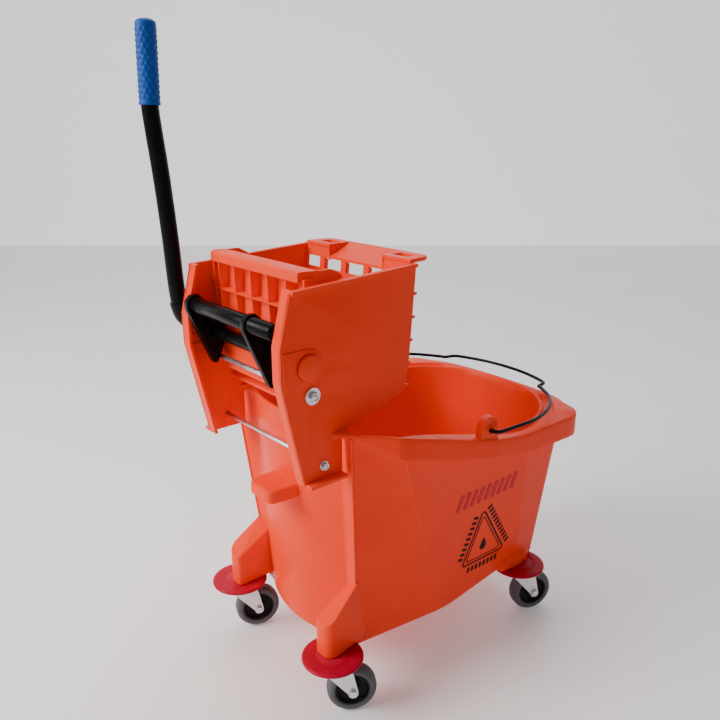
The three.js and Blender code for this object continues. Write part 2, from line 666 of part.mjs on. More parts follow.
function addRod(name, rod, plateFace, washer, nut) {
  const reach = plateFace + SEAT_GAP + washer.thickness + SEAT_GAP + nut.thickness;
  add(name, rodY(rod.x, rod.z, rod.radius, -reach, reach, 16), ZINC);
  for (const [place, side] of [['near', -1], ['far', 1]]) {
    const start = plateFace + SEAT_GAP;
    const seat = start + washer.thickness + SEAT_GAP;
    const span = (a, b) => (side > 0 ? [a, b] : [-b, -a]);
    const disc = ringOnRod(rod, washer.radius, ...span(start, start + washer.thickness), 24);
    const hexagon = ringOnRod(rod, nut.radius, ...span(seat, seat + nut.thickness), 6);
    add(`${name}_washer_${place}`, disc, ZINC);
    add(`${name}_nut_${place}`, hexagon, ZINC);
  }
}

add('bucket', bucketShape(), ORANGE);
CASTORS.forEach(addCastor);
add('bail_handle', bailShape(), BLACK_STEEL);
add('wringer_frame', wringerShape(), ORANGE);
add('press_plate', pressPlateShape(), ORANGE);
addRod('pivot_rod', PIVOT_ROD, PLATE_OUTER_Y, { radius: 12, thickness: 2 }, { radius: 7, thickness: 5 });
addRod('tie_rod', TIE_ROD, PLATE_OUTER_Y, { radius: 7, thickness: 1.2 }, { radius: 5.5, thickness: 4 });
add('press_shaft', shaftShape(), BLACK_STEEL);
add('shaft_bush_near', bushShape(-1), ORANGE);
add('shaft_bush_far', bushShape(1), ORANGE);
add('press_arm_near', armShape(ARM_Y.near), BLACK_STEEL);
add('press_arm_far', armShape(ARM_Y.far), BLACK_STEEL);
add('push_bar', pushBarShape(), BLACK_STEEL);
add('return_spring_near', springShape(ARM_Y.near - 30, 12, 4.4), ZINC);
add('return_spring_far', springShape(ARM_Y.far + 7.7, 8.2, 2.4), ZINC);
add('handle_socket', handleSocketShape(), BLACK_STEEL);
add('handle_tube', handleTubeShape(), BLACK_STEEL);
const grip = add('handle_grip', gripShape(), BLUE);
grip.position.set(-284, HANDLE_Y, 863);
grip.rotation.y = Math.atan2(3, GRIP_LENGTH);

object.position.x = -ORIGIN_X;

export default object;
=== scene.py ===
import math

import bmesh
import bpy
from mathutils import Matrix, Vector


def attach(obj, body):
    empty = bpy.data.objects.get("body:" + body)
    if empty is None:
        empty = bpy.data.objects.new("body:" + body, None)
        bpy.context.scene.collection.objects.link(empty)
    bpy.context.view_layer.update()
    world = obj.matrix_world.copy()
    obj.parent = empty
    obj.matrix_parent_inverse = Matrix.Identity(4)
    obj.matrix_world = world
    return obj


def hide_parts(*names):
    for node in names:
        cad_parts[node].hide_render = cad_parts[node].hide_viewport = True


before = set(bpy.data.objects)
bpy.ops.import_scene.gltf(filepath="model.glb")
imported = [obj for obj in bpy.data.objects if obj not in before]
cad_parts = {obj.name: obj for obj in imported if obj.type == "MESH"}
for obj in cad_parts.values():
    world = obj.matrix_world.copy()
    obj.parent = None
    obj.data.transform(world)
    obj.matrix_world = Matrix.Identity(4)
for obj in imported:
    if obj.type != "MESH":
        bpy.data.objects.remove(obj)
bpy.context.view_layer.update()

# Lengths below are millimetres in the frame of the CAD source, whose origin lies ORIGIN_X behind the row's.
MM = 0.001
ORIGIN_X = 18.0
BASE_Z = 76
SHOULDER_Z = 446
FRONT_RIM_Z = 380
WALL = 4.5
FLOOR_THICKNESS = 6
FOOT_RADIUS = 6
FLOOR_RADIUS = 7
PAD_Z = 97
RIM_START_X = -177
RIM_CORNER = (-118, 195)
RIM_LEVEL_X = 150
BAND_DEPTHS = [(-400, 4), (RIM_START_X, 4), (RIM_CORNER[0], 33), (80, 30.5), (280, 39), (400, 39)]
# where each castor turns, and the heading in degrees that the photo shows
CASTORS = {
    "rear_near": (-197, -128, -31),
    "rear_far": (-197, 128, -22),
    "front_near": (204, -152, -22),
    "front_far": (204, 152, -22),
}
TRAIL = 28
WHEEL_Z = 37.5
AXLE = (TRAIL, WHEEL_Z)
EAR = (45, 410)
SHAFT = (-229, 547)
PIVOT = (-223, 507)
TIE = (-206, 404)
PUSH_BAR = (-262, 593)
ARM_YS = (-49, 100)
HANDLE_Y = 145
POCKET_PITCH = (52.5, 33)
REAR_WALL_FOOT_Z = 476
# how far out the wringer's walls and floor reach, half a millimetre into its side plates
INNER_Y = 121.5
PRESS_HALF_WIDTH = 112.8
SIDES = (("near", -1), ("far", 1))


# ---------- materials ----------


class Nodes:
    """A small builder for one material's node tree."""

    def __init__(self, name):
        self.material = bpy.data.materials.new(name)
        self.material.use_nodes = True
        self.tree = self.material.node_tree
        self.shader = self.tree.nodes["Principled BSDF"]
        coordinates = self.tree.nodes.new("ShaderNodeTexCoord")
        self.place = coordinates.outputs["Object"]

    def fill(self, node, **inputs):
        for key, value in inputs.items():
            self.feed(node.inputs[key.replace("_", " ")], value)
        return node

    def new(self, kind, **inputs):
        return self.fill(self.tree.nodes.new("ShaderNode" + kind), **inputs)

    def feed(self, socket, value):
        if isinstance(value, bpy.types.NodeSocket):
            self.tree.links.new(value, socket)
        else:
            socket.default_value = value

    def stretched(self, z):
        """Coordinates that run faster or slower up the object."""
        return self.new("Mapping", Vector=self.place, Scale=(1.0, 1.0, z)).outputs["Vector"]

    def noise(self, scale, detail=3.0, roughness=0.5, distortion=0.0, place=None):
        node = self.new("TexNoise", Vector=place or self.place, Scale=scale, Detail=detail,
                        Roughness=roughness, Distortion=distortion)
        return node.outputs["Fac"]

    def fit(self, value, low, high, to_low=0.0, to_high=1.0):
        """Maps the range low to high onto to_low to to_high."""
        node = self.new("MapRange", Value=value, From_Min=low, From_Max=high, To_Min=to_low, To_Max=to_high)
        return node.outputs["Result"]

    def mix(self, factor, a, b):
        node = self.tree.nodes.new("ShaderNodeMix")
        node.data_type = "RGBA"
        self.feed(node.inputs["Factor"], factor)
        self.feed(node.inputs["A"], a)
        self.feed(node.inputs["B"], b)
        return node.outputs["Result"]

    def maths(self, operation, a, b):
        node = self.tree.nodes.new("ShaderNodeMath")
        node.operation = operation
        self.feed(node.inputs[0], a)
        self.feed(node.inputs[1], b)
        return node.outputs[0]

    def bump(self, height, strength, distance, normal=None):
        node = self.new("Bump", Height=height, Strength=strength, Distance=distance)
        if normal:
            self.feed(node.inputs["Normal"], normal)
        return node.outputs["Normal"]

    def set(self, **inputs):
        self.fill(self.shader, **inputs)


def rgb(red, green, blue):
    return (red, green, blue, 1.0)


def moulded(name, colour, deep, roughness=0.36, scuffs=0.5, glow=0.04):
    """Injection-moulded plastic: slightly clouded colour, orange-peel skin, rubbed edges and fine scuffs."""
    n = Nodes(name)
    cloud = n.fit(n.noise(9.0, 4.0), 0.35, 0.65)
    base = n.mix(n.maths("MULTIPLY", cloud, 0.55), colour, deep)
    geometry = n.new("NewGeometry")
    edge = n.fit(geometry.outputs["Pointiness"], 0.505, 0.56, 0.0, 0.35)
    pale = rgb(*[min(1.0, c * 1.3 + 0.02) for c in colour[:3]])
    base = n.mix(edge, base, pale)
    lines = n.noise(70.0, 6.0, 0.7, 1.8, n.stretched(5.0))
    scratch = n.fit(lines, 0.66, 0.72, 0.0, scuffs)
    base = n.mix(n.maths("MULTIPLY", scratch, 0.18), base, rgb(0.9, 0.62, 0.52))
    rough = n.fit(n.noise(22.0, 5.0, 0.6), 0.3, 0.7, roughness - 0.06, roughness + 0.1)
    rough = n.maths("ADD", rough, n.maths("MULTIPLY", scratch, 0.25))
    skin = n.bump(n.noise(420.0, 2.0), 0.12, 0.0004)
    waves = n.bump(n.noise(28.0, 1.0), 0.18, 0.0012, skin)
    n.set(Base_Color=base, Roughness=rough, Normal=waves, IOR=1.45, Specular_IOR_Level=0.13)
    n.set(Subsurface_Weight=glow, Subsurface_Scale=0.012)
    n.shader.inputs["Subsurface Radius"].default_value = (1.0, 0.28, 0.1)
    return n.material


def coated_steel(name, colour, roughness):
    """Powder-coated steel with a fine grain and a few rubbed spots."""
    n = Nodes(name)
    rub = n.fit(n.noise(45.0, 6.0, 0.65, 0.6), 0.62, 0.72, 0.0, 0.5)
    base = n.mix(rub, colour, rgb(0.006, 0.006, 0.0065))
    rough = n.fit(n.noise(60.0, 4.0), 0.3, 0.7, roughness - 0.08, roughness + 0.12)
    n.set(Base_Color=base, Roughness=rough, IOR=1.45, Specular_IOR_Level=0.12)
    n.set(Normal=n.bump(n.noise(1500.0, 2.0), 0.2, 0.0002))
    return n.material


def zinc(name):
    """Bright zinc plating, lightly brushed and a little clouded."""
    n = Nodes(name)
    cloud = n.fit(n.noise(60.0, 4.0, 0.6), 0.3, 0.8)
    base = n.mix(cloud, rgb(0.76, 0.77, 0.79), rgb(0.64, 0.64, 0.66))
    grain = n.noise(900.0, 3.0, 0.5, 0.0, n.stretched(0.08))
    rough = n.fit(n.noise(80.0, 3.0), 0.3, 0.7, 0.3, 0.4)
    n.set(Base_Color=base, Metallic=1.0, Roughness=rough)
    n.set(Normal=n.bump(grain, 0.06, 0.0001))
    return n.material


def rubber(name, colour, dusty):
    """Grey wheel rubber with dust worked into its grain."""
    n = Nodes(name)
    dust = n.fit(n.noise(160.0, 6.0, 0.7), 0.42, 0.72)
    base = n.mix(n.maths("MULTIPLY", dust, 0.6), colour, dusty)
    rough = n.fit(n.noise(70.0, 3.0), 0.3, 0.7, 0.55, 0.75)
    n.set(Base_Color=base, Roughness=rough, Specular_IOR_Level=0.3)
    n.set(Normal=n.bump(n.noise(1200.0, 3.0), 0.3, 0.0003))
    return n.material


def soft_grip(name, colour, deep):
    """Soft moulded grip: fine matt skin, with painted shade darkening the colour in the hollows."""
    n = Nodes(name)
    geometry = n.new("NewGeometry")
    # painted shade: the deep colour fills the hollows between the dots, and the plain colour stays where the
    # surface stands out
    raised = n.fit(geometry.outputs["Pointiness"], 0.46, 0.54)
    base = n.mix(raised, deep, colour)
    base = n.mix(n.fit(n.noise(40.0, 4.0), 0.4, 0.7, 0.0, 0.3), base, deep)
    rough = n.fit(n.noise(90.0, 3.0), 0.3, 0.7, 0.42, 0.58)
    n.set(Base_Color=base, Roughness=rough, Specular_IOR_Level=0.2)
    n.set(Normal=n.bump(n.noise(1400.0, 2.0), 0.2, 0.0003))
    return n.material


def ink(name, colour):
    """Screen-printed ink, slightly worn through."""
    n = Nodes(name)
    worn = n.fit(n.noise(260.0, 5.0, 0.7), 0.62, 0.78, 0.0, 0.22)
    base = n.mix(worn, colour, rgb(0.62, 0.09, 0.03))
    n.set(Base_Color=base, Roughness=n.fit(n.noise(300.0), 0.3, 0.7, 0.5, 0.65), Specular_IOR_Level=0.15)
    n.set(Normal=n.bump(n.noise(800.0, 2.0), 0.1, 0.0002))
    return n.material


ORANGE = moulded("orange_plastic", rgb(0.95, 0.044, 0.005), rgb(0.86, 0.032, 0.003))
CRIMSON = moulded("crimson_plastic", rgb(0.43, 0.002, 0.026), rgb(0.35, 0.002, 0.021), 0.34, 0.5, 0.02)
HUB_BLACK = moulded("black_plastic", rgb(0.006, 0.006, 0.0065), rgb(0.009, 0.009, 0.0095), 0.42, 0.2, 0.0)
BLACK_STEEL = coated_steel("black_steel", rgb(0.0018, 0.0018, 0.002), 0.3)
ZINC = zinc("zinc_steel")
TYRE = rubber("grey_tyre", rgb(0.095, 0.095, 0.102), rgb(0.14, 0.14, 0.14))
# the grip's second colour is painted shade in its hollows, and also a random darker tone
GRIP_BLUE = soft_grip("blue_grip", rgb(0.003, 0.075, 0.36), rgb(0.002, 0.048, 0.25))
INK_BLACK = ink("black_ink", rgb(0.005, 0.0045, 0.005))
INK_RED = ink("red_ink", rgb(0.56, 0.024, 0.036))


# ---------- shapes ----------


def lerp(a, b, t):
    return a + (b - a) * t


def blend(a, b, t):
    """A place part of the way from one (x, y) to another."""
    return lerp(a[0], b[0], t), lerp(a[1], b[1], t)


def clamp(value, low=0.0, high=1.0):
    return min(max(value, low), high)


def smooth(value):
    t = clamp(value)
    return t * t * (3 - 2 * t)


class Shape:
    """Points in millimetres and faces; several closed forms can go into one piece."""

    def __init__(self):
        self.points = []
        self.faces = []

    def add(self, points, faces, transform=None):
        start = len(self.points)
        if transform:
            points = [transform @ Vector(p) for p in points]
        self.points.extend(tuple(p) for p in points)
        self.faces.extend(tuple(start + i for i in face) for face in faces)
        return self

    def join(self, other):
        return self.add(other.points, other.faces)

    def both_sides(self, build):
        """Adds what build makes for the far side, and its mirror image."""
        far = build(Shape())
        self.join(far)
        return self.add([(x, -y, z) for x, y, z in far.points], [tuple(reversed(f)) for f in far.faces])

    def prism_y(self, outline, y0, y1):
        """An outline in the XZ plane, pushed along Y."""
        return self.stack([[(x, y, z) for x, z in outline] for y in (y0, y1)])

    def stack(self, levels, transform=None):
        """A closed body through rings of points of equal length, from one end to the other."""
        n = len(levels[0])
        points = [p for level in levels for p in level]
        faces = [tuple(reversed(range(n))), tuple(range(len(points) - n, len(points)))]
        for low in range(0, len(points) - n, n):
            for i in range(n):
                j = (i + 1) % n
                faces.append((low + i, low + j, low + n + j, low + n + i))
        return self.add(points, faces, transform)

    def lathe(self, profile, sides, about=None, transform=None):
        """A closed profile of (radius, height) turned about Z, or about a line along Y at about's x and z."""
        sections = []
        for i in range(sides):
            a = 2 * math.pi * i / sides
            section = [(radius * math.cos(a), radius * math.sin(a), height) for radius, height in profile]
            if about:
                section = [(about[0] + u, height, about[1] + v) for u, v, height in section]
            sections.append(section)
        return self.loop(sections, transform)

    def loop(self, sections, transform=None):
        """A closed ring through sections of equal length."""
        n, count = len(sections[0]), len(sections)
        faces = []
        for i in range(count):
            j = (i + 1) % count
            for k in range(n):
                m = (k + 1) % n
                faces.append((i * n + k, j * n + k, j * n + m, i * n + m))
        return self.add([p for section in sections for p in section], faces, transform)

    def tube(self, path, radius, sides):
        """A round bar along a list of points, closed at both ends."""
        path = [Vector(p) for p in path]
        side = Vector((0, 1, 0.13)).normalized()
        turns = [2 * math.pi * k / sides for k in range(sides)]
        levels = []
        for i, p in enumerate(path):
            along = (path[min(i + 1, len(path) - 1)] - path[max(i - 1, 0)]).normalized()
            if abs(side.dot(along)) > 0.97:
                side = Vector((along.y, along.z, along.x))
            side = (side - along * side.dot(along)).normalized()
            other = along.cross(side)
            levels.append([p + radius * (math.cos(a) * side + math.sin(a) * other) for a in turns])
        return self.stack(levels)


def enclosing(points):
    """The faces round a set of points, as a closed convex body."""
    bm = bmesh.new()
    for p in points:
        bm.verts.new(p)
    bmesh.ops.convex_hull(bm, input=bm.verts)
    bmesh.ops.delete(bm, geom=[v for v in bm.verts if not v.link_faces], context="VERTS")
    bmesh.ops.dissolve_limit(bm, angle_limit=math.radians(1), verts=bm.verts, edges=bm.edges)
    bm.verts.index_update()
    made = [tuple(v.co) for v in bm.verts], [tuple(v.index for v in f.verts) for f in bm.faces]
    bm.free()
    return made


def piece(name, shape, body, material, replaces=(), bevel=0.0, segments=3, sharp=32, angle=28):
    """Makes a Blender object of a shape, in metres in the row's frame, riding on a body."""
    mesh = bpy.data.meshes.new(name)
    points = [((x - ORIGIN_X) * MM, y * MM, z * MM) for x, y, z in shape.points]
    mesh.from_pydata(points, [], shape.faces)
    bm = bmesh.new()
    bm.from_mesh(mesh)
    bmesh.ops.remove_doubles(bm, verts=bm.verts, dist=1e-6)
    bmesh.ops.dissolve_degenerate(bm, edges=bm.edges, dist=1e-6)
    bmesh.ops.recalc_face_normals(bm, faces=bm.faces)
    bm.to_mesh(mesh)
    bm.free()
    mesh.polygons.foreach_set("use_smooth", [True] * len(mesh.polygons))
    mesh.set_sharp_from_angle(angle=math.radians(sharp))
    mesh.materials.append(material)
    made = bpy.data.objects.new(name, mesh)
    bpy.context.scene.collection.objects.link(made)
    if bevel:
        modifier = made.modifiers.new("rounded edges", "BEVEL")
        modifier.width = bevel * MM
        modifier.segments = segments
        modifier.limit_method = "ANGLE"
        modifier.angle_limit = math.radians(angle)
        modifier.harden_normals = True
        modifier.use_clamp_overlap = True
    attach(made, body)
    if replaces:
        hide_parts(*replaces)
    return made


def arc(x, y, radius, start, end, steps):
    angles = [math.radians(lerp(start, end, i / steps)) for i in range(steps + 1)]
    return [(x + radius * math.cos(a), y + radius * math.sin(a)) for a in angles]


def rectangle(x0, x1, y0, y1):
    return [(x0, y0), (x1, y0), (x1, y1), (x0, y1)]


def ring(x, y, radius, sides):
    return arc(x, y, radius, 0, 360 - 360 / sides, sides - 1)


def hull(points):
    """The outline round a set of points, counter-clockwise."""
    ordered = sorted(set(points))

    def chain(candidates):
        kept = []
        for p in candidates:
            while len(kept) > 1 and turn(kept[-2], kept[-1], p) <= 1e-9:
                kept.pop()
            kept.append(p)
        return kept[:-1]

    return chain(ordered) + chain(reversed(ordered))


def turn(o, a, b):
    return (a[0] - o[0]) * (b[1] - o[1]) - (a[1] - o[1]) * (b[0] - o[0])


def between(a, b, steps):
    return [blend(a, b, k / steps) for k in range(1, steps)]


def cut_corner(before, corner, after, cut, steps):
    """A corner of a line, cut back by a fixed length and rounded."""
    p = Vector(corner)
    back, on = (Vector(before) - p).normalized(), (Vector(after) - p).normalized()
    points = []
    for k in range(steps + 1):
        t = k / steps
        points.append(tuple(p + back * cut * (1 - t) ** 2 + on * cut * t ** 2))
    return points


def rounded(outline, radius, steps):
    """A closed outline with its corners rounded; radius is one number or one for each corner."""
    radii = radius if isinstance(radius, list) else [radius] * len(outline)
    result = []
    for i, (corner, r) in enumerate(zip(outline, radii)):
        if r == 0:
            result.append(corner)
            continue
        before, after = outline[i - 1], outline[(i + 1) % len(outline)]
        back, on = ((Vector(end) - Vector(corner)).normalized() for end in (before, after))
        half = math.acos(clamp(back.dot(on), -1, 1)) / 2
        result += cut_corner(before, corner, after, r / max(math.tan(half), 0.05), steps)
    return result


def curve_through(points, steps):
    """A smooth curve through points, steps to a stretch."""
    points = [Vector(p) for p in points]
    result = []
    for i in range(len(points) - 1):
        p0 = points[max(i - 1, 0)]
        p1, p2 = points[i], points[i + 1]
        p3 = points[min(i + 2, len(points) - 1)]
        for k in range(steps):
            t = k / steps
            result.append(0.5 * (2 * p1 + (p2 - p0) * t + (2 * p0 - 5 * p1 + 4 * p2 - p3) * t * t
                                 + (3 * p1 - p0 - 3 * p2 + p3) * t ** 3))
    result.append(points[-1])
    return result


# ---------- bucket ----------

# corners of the wall from above, each at the base and at the shoulder's height
CREASE = ((-143.5, 104), (-166, 112))
SHOULDER = ((-140, 118), (-177, 150))
RIDGE = ((15, 140), (-126, 190))
FOLD = ((202, 148), (168, 187))
FRONT_CORNER = ((236.9, 147), (268.3, 176.7))


def rim_height(x):
    return SHOULDER_Z - (SHOULDER_Z - FRONT_RIM_Z) * smooth((x - RIM_START_X) / (RIM_LEVEL_X - RIM_START_X))


def read_off(table, x):
    """A value from a list of (x, value), straight between its entries."""
    for (x0, a), (x1, b) in zip(table, table[1:]):
        if x < x1:
            return lerp(a, b, (x - x0) / (x1 - x0))
    return table[-1][1]


def rise(z):
    return (z - BASE_Z) / (SHOULDER_Z - BASE_Z)


def underside(x):
    return BASE_Z + (PAD_Z - BASE_Z) * clamp((x - 40) / 112)


def wall_half(z):
    """Half outline of the wall at a height, from the wringer end round to the pouring end: a shallow
    bulge, a shoulder, a facet out to the slanting ridge, a flat side up to a faint fold, a flat side
    beyond it, and the rounded pouring end."""
    t = rise(z)
    ends = CREASE, SHOULDER, RIDGE, FOLD, FRONT_CORNER
    crease, shoulder, ridge, fold, corner = (blend(foot, head, t) for foot, head in ends)
    apex, front = lerp(-170, -193, t), lerp(262, 326.5, t)
    bulge = [(apex + (crease[0] - apex) * (i / 24) ** 2, crease[1] * i / 24) for i in range(24)]
    points = bulge[:-1]
    points += cut_corner(bulge[-2], crease, shoulder, 4, 4)
    points += between(points[-1], shoulder, 4)[:-1]
    points += cut_corner(crease, shoulder, ridge, 4, 6)
    for before, bend, after, cut in ((shoulder, ridge, fold, 2.2), (ridge, fold, corner, 4)):
        turning = cut_corner(before, bend, after, cut, 6)
        points += between(points[-1], turning[0], 12) + turning
    points += between(points[-1], corner, 6)
    pull, push = (lerp(corner[0], front, 0.85), corner[1] - 3), (front, corner[1] * 0.66)
    for i in range(47):
        s = i / 46
        p = (Vector(corner) * (1 - s) ** 3 + Vector(pull) * 3 * s * (1 - s) ** 2
             + Vector(push) * 3 * s * s * (1 - s) + Vector((front, 0)) * s ** 3)
        points.append(tuple(p))
    return points


def mouth_half(z):
    """The inside of the wall at a height, with the pouring end's corners trimmed to a rounder mouth."""
    t = rise(z)
    reach, width = lerp(142, 206.5, t) - WALL, lerp(144.5, 187.5, t) - WALL
    power = max(5 - 3.23 * t, 2.0)
    result = []
    for x, y in inset(wall_half(z), WALL):
        if x > 120:
            over = max(((x - 120) / reach) ** power + (max(y, 0) / width) ** power, 1.0) ** (1 / power)
            x, y = 120 + (x - 120) / over, y / over
        result.append((x, y))
    return result


def inset(outline, distance):
    """Moves a half outline inwards; its two ends stay on the middle line."""
    count = len(outline)
    result = []
    for i, (x, y) in enumerate(outline):
        before = outline[i - 1] if i else (outline[1][0], -outline[1][1])
        after = outline[i + 1] if i + 1 < count else (outline[-2][0], -outline[-2][1])
        along = (Vector((x, y)) - Vector(before)).normalized() + (Vector(after) - Vector((x, y))).normalized()
        along.normalize()
        result.append((x + along.y * distance, y - along.x * distance))
    return result


def rim_line():
    """Half outline of the rim's outer edge."""
    half = [(-200, 0), (-200, 150.5), (RIM_START_X, 150.5), RIM_CORNER]
    for k in range(1, 16):
        s = k / 15
        half.append(blend(blend(RIM_CORNER, (0, 205), s), blend((0, 205), (RIM_LEVEL_X, 207), s), s))
    half += [(x, y) for x, y in reversed(arc(250, 167, 39, 16, 88, 10))]
    half += [(310 - 22 * (y / 180) ** 2, y) for y in (160, 140, 117, 100, 80, 60, 40, 20, 0)]
    return half


RIM_CENTRE = Vector((90, 0))
RIM_LINE = rim_line()


def rim_reach(direction):
    """Distance from RIM_CENTRE to the rim's outer edge along a direction."""
    best = 0.0
    for a, b in zip(RIM_LINE, RIM_LINE[1:]):
        edge = Vector(b) - Vector(a)
        to = Vector(a) - RIM_CENTRE
        cross = direction.x * edge.y - direction.y * edge.x
        if abs(cross) < 1e-9:
            continue
        distance = (to.x * edge.y - to.y * edge.x) / cross
        along = (to.x * direction.y - to.y * direction.x) / cross
        if -1e-6 <= along <= 1 + 1e-6 and distance > best:
            best = distance
    return best


class Wall:
    """The wall's half outlines at any height, with every station kept in step."""

    START = 40
    STEP = 12
    LEVELS = 37

    def __init__(self, half_outline):
        self.lines = [half_outline(self.START + self.STEP * i) for i in range(self.LEVELS)]
        self.count = len(self.lines[0])

    def at(self, i, z):
        k = clamp((z - self.START) / self.STEP, 0, self.LEVELS - 1.001)
        low = int(k)
        return blend(self.lines[low][i], self.lines[low + 1][i], k - low)

    def height_at(self, i, level):
        """The height where station i meets a level that depends on x."""
        z = level(self.at(i, 250)[0])
        for _ in range(6):
            z = level(self.at(i, z)[0])
        return z


OUTER = Wall(wall_half)
INNER = Wall(mouth_half)


def band_profile(i):
    """Heights, outward reach and direction of the rim band at a station."""
    top = OUTER.height_at(i, rim_height)
    x, y = OUTER.at(i, top)
    spoke = Vector((x, y)) - RIM_CENTRE
    direction = spoke.normalized()
    depth = read_off(BAND_DEPTHS, x)
    # the band fades out over 12 mm beside the wringer, where the end wall keeps only a thin lip
    out = lerp(0.3, max(rim_reach(direction) - spoke.length, 2.5), clamp((x - RIM_START_X - 1) / 12))
    if x < 0 and y < 113:
        out = 1.2
    return top, depth, out, direction


def rounded_foot(wall, i, z, radius):
    """Where a wall curves into its floor, from the floor up."""
    out = outward_normal(wall, i, z)
    points = []
    for k in range(5):
        a = math.radians(90 * k / 4)
        height = z + radius * (1 - math.cos(a))
        back = radius * (1 - math.sin(a))
        x, y = wall.at(i, height)
        points.append((x - out.x * back, y - out.y * back, height))
    return points


def wall_run(wall, i, start, end):
    """Points along a wall from just past one height to another."""
    steps = 19
    heights = [lerp(start, end, k / steps) for k in range(1, steps + 1)]
    return [(*wall.at(i, z), z) for z in heights]


def wall_section(i):
    """The closed section of the shell at one station, from under the floor over the rim to the inside."""
    top, depth, out, direction = band_profile(i)
    low = OUTER.height_at(i, underside)
    foot = rounded_foot(OUTER, i, low, FOOT_RADIUS)
    under = top - depth
    section = foot + wall_run(OUTER, i, low + FOOT_RADIUS, under - 0.8)
    root = Vector(OUTER.at(i, under))
    tip = Vector(OUTER.at(i, top)) + direction * out
    edge_low = tip - direction * min(0.8, out / 2)
    section.append((*(root + direction * 0.3), under))
    section.append((*lerp(root, edge_low, 0.5), under))
    section.append((*edge_low, under))
    section.append((*lerp(edge_low, tip, 0.8), under + 0.3))
    for k in range(5):
        section.append((*tip, lerp(under + 1.4, top - 2.2, k / 4)))
    section.append((*(tip - direction * 0.5), top - 0.8))
    section.append((*(tip - direction * 1.6), top))
    inner_top = Vector(INNER.at(i, top))
    across = inner_top - tip
    width = max(across.length, 1e-6)
    step = across / width
    recess = 6.0 * smooth((width - 26) / 10)
    span = min(0.45 * width, 17)
    # the shallow recess in the rim's shelf: distance from the mouth, least share of the width, depth
    hollow = ((6.5 + span, 0.42, 0), (5.5 + span, 0.48, 0.85), (4.5 + span, 0.54, 1), (5.5, 0.7, 1),
              (4, 0.78, 0.15))
    for away, share, deep in hollow:
        section.append((*(tip + step * max(width - away, share * width)), top - recess * deep))
    section.append((*(inner_top - step * 1.0), top - 0.1))
    section.append((*inner_top, top - 1.2))
    floor = low + FLOOR_THICKNESS
    section += wall_run(INNER, i, top - 1.2, floor + FLOOR_RADIUS)
    return section + rounded_foot(INNER, i, floor, FLOOR_RADIUS)[-2::-1]


def outward_normal(wall, i, z):
    """Which way a wall faces at a station."""
    if i == 0:
        return Vector((-1, 0))
    if i == wall.count - 1:
        return Vector((1, 0))
    along = (Vector(wall.at(i + 1, z)) - Vector(wall.at(i - 1, z))).normalized()
    return Vector((-along.y, along.x))


def bucket_shell():
    sections = [wall_section(i) for i in range(OUTER.count)]
    length = len(sections[0])
    for end in (sections[0], sections[-1]):
        end[:] = [(x, 0.0, z) for x, _, z in end]
    far = [p for section in sections for p in section]
    near = [(x, -y, z) for x, y, z in far]
    total = len(far)
    sides, seams = [], []
    for a in range(0, total - length, length):
        sides += [(a + k, a + length + k, a + length + k + 1, a + k + 1) for k in range(length - 1)]
        for k in (a, a + length - 1):
            seams.append((k, k + length, k + length + total, k + total))
    shape = Shape().add(far, sides).add(near, sides)
    shape.faces += seams
    return shape


def rear_posts(shape):
    """A castor's post, rounded at its tip, under a folded roof that climbs to the shoulder."""
    tip = arc(-197, 124, 14, 90, 180, 8) + arc(-204, 111, 7, 180, 270, 5)
    outline = [(RIM_CORNER[0], 104), (RIM_CORNER[0], 118), (-150, 131)] + tip

    def roof(x, y):
        outer = 152 + 0.056 * (y - 140) + 0.869 * (x + 211)
        inner = 150 + 0.549 * (x + 211) + 0.597 * (y - 104)
        return min(outer, inner, 205)

    levels = [[(x, y, PAD_Z) for x, y in outline], [(x, y, roof(x, y)) for x, y in outline]]
    return shape.add(*enclosing(levels[0] + levels[1]))


def front_pads(shape):
    """The front castors' mounts bulge from the foot of the side wall."""
    radii = [0, 6, 30, 20, 14, 0]
    foot = rounded([(156, 110), (156, 156), (190, 161), (224, 158), (250, 137), (246, 110)], radii, 4)
    head = rounded([(162, 110), (162, 149), (190, 153), (220, 150), (240, 131), (238, 110)], radii, 4)
    levels = ((foot, PAD_Z), (foot, 110), (head, 122))
    return shape.stack([[(x, y, z) for x, y in line] for line, z in levels])


def ears(shape):
    outline = hull(ring(EAR[0], EAR[1] + 4, 17, 40) + [(EAR[0] - 20, 394), (EAR[0] + 20, 391), (EAR[0], 384)])
    shape.prism_y(outline, 189.2, 201.8)
    return shape.lathe(rectangle(4.4, 9.5, 200.5, 203.2), 32, EAR)


def tilt_tab():
    outline = rounded([(-165, 34), (-214, 31), (-231, 27), (-231, -27), (-214, -31), (-165, -34)],
                      [0, 10, 12, 12, 10, 0], 6)
    return Shape().stack([[(x, y, z) for x, y in outline] for z in (310, 332)])


def wall_y(x, z):
    """How far out the side wall is at a place along the bucket."""
    line = [OUTER.at(i, z) for i in range(OUTER.count)]
    for a, b in zip(line, line[1:]):
        if a[0] <= x <= b[0] and a[1] > 60:
            return lerp(a[1], b[1], (x - a[0]) / max(b[0] - a[0], 1e-6))
    return line[-1][1]


def on_side(x, z, out):
    """A place on the near side wall, or a little way out from it."""
    return x, -wall_y(x, z) - out, z


def on_wall(outline):
    """A flat outline in (x, z) laid onto the near side wall as a thin closed skin."""
    count = len(outline)
    centre = (sum(x for x, _ in outline) / count, sum(z for _, z in outline) / count)
    points = []
    for out in (0.4, -0.4):
        points += [on_side(x, z, out) for x, z in (*outline, centre)]
    faces = []
    for i in range(count):
        j = (i + 1) % count
        faces.append((i, j, count))
        faces.append((count + 1 + j, count + 1 + i, 2 * count + 1))
        faces.append((j, i, count + 1 + i, count + 1 + j))
    return points, faces


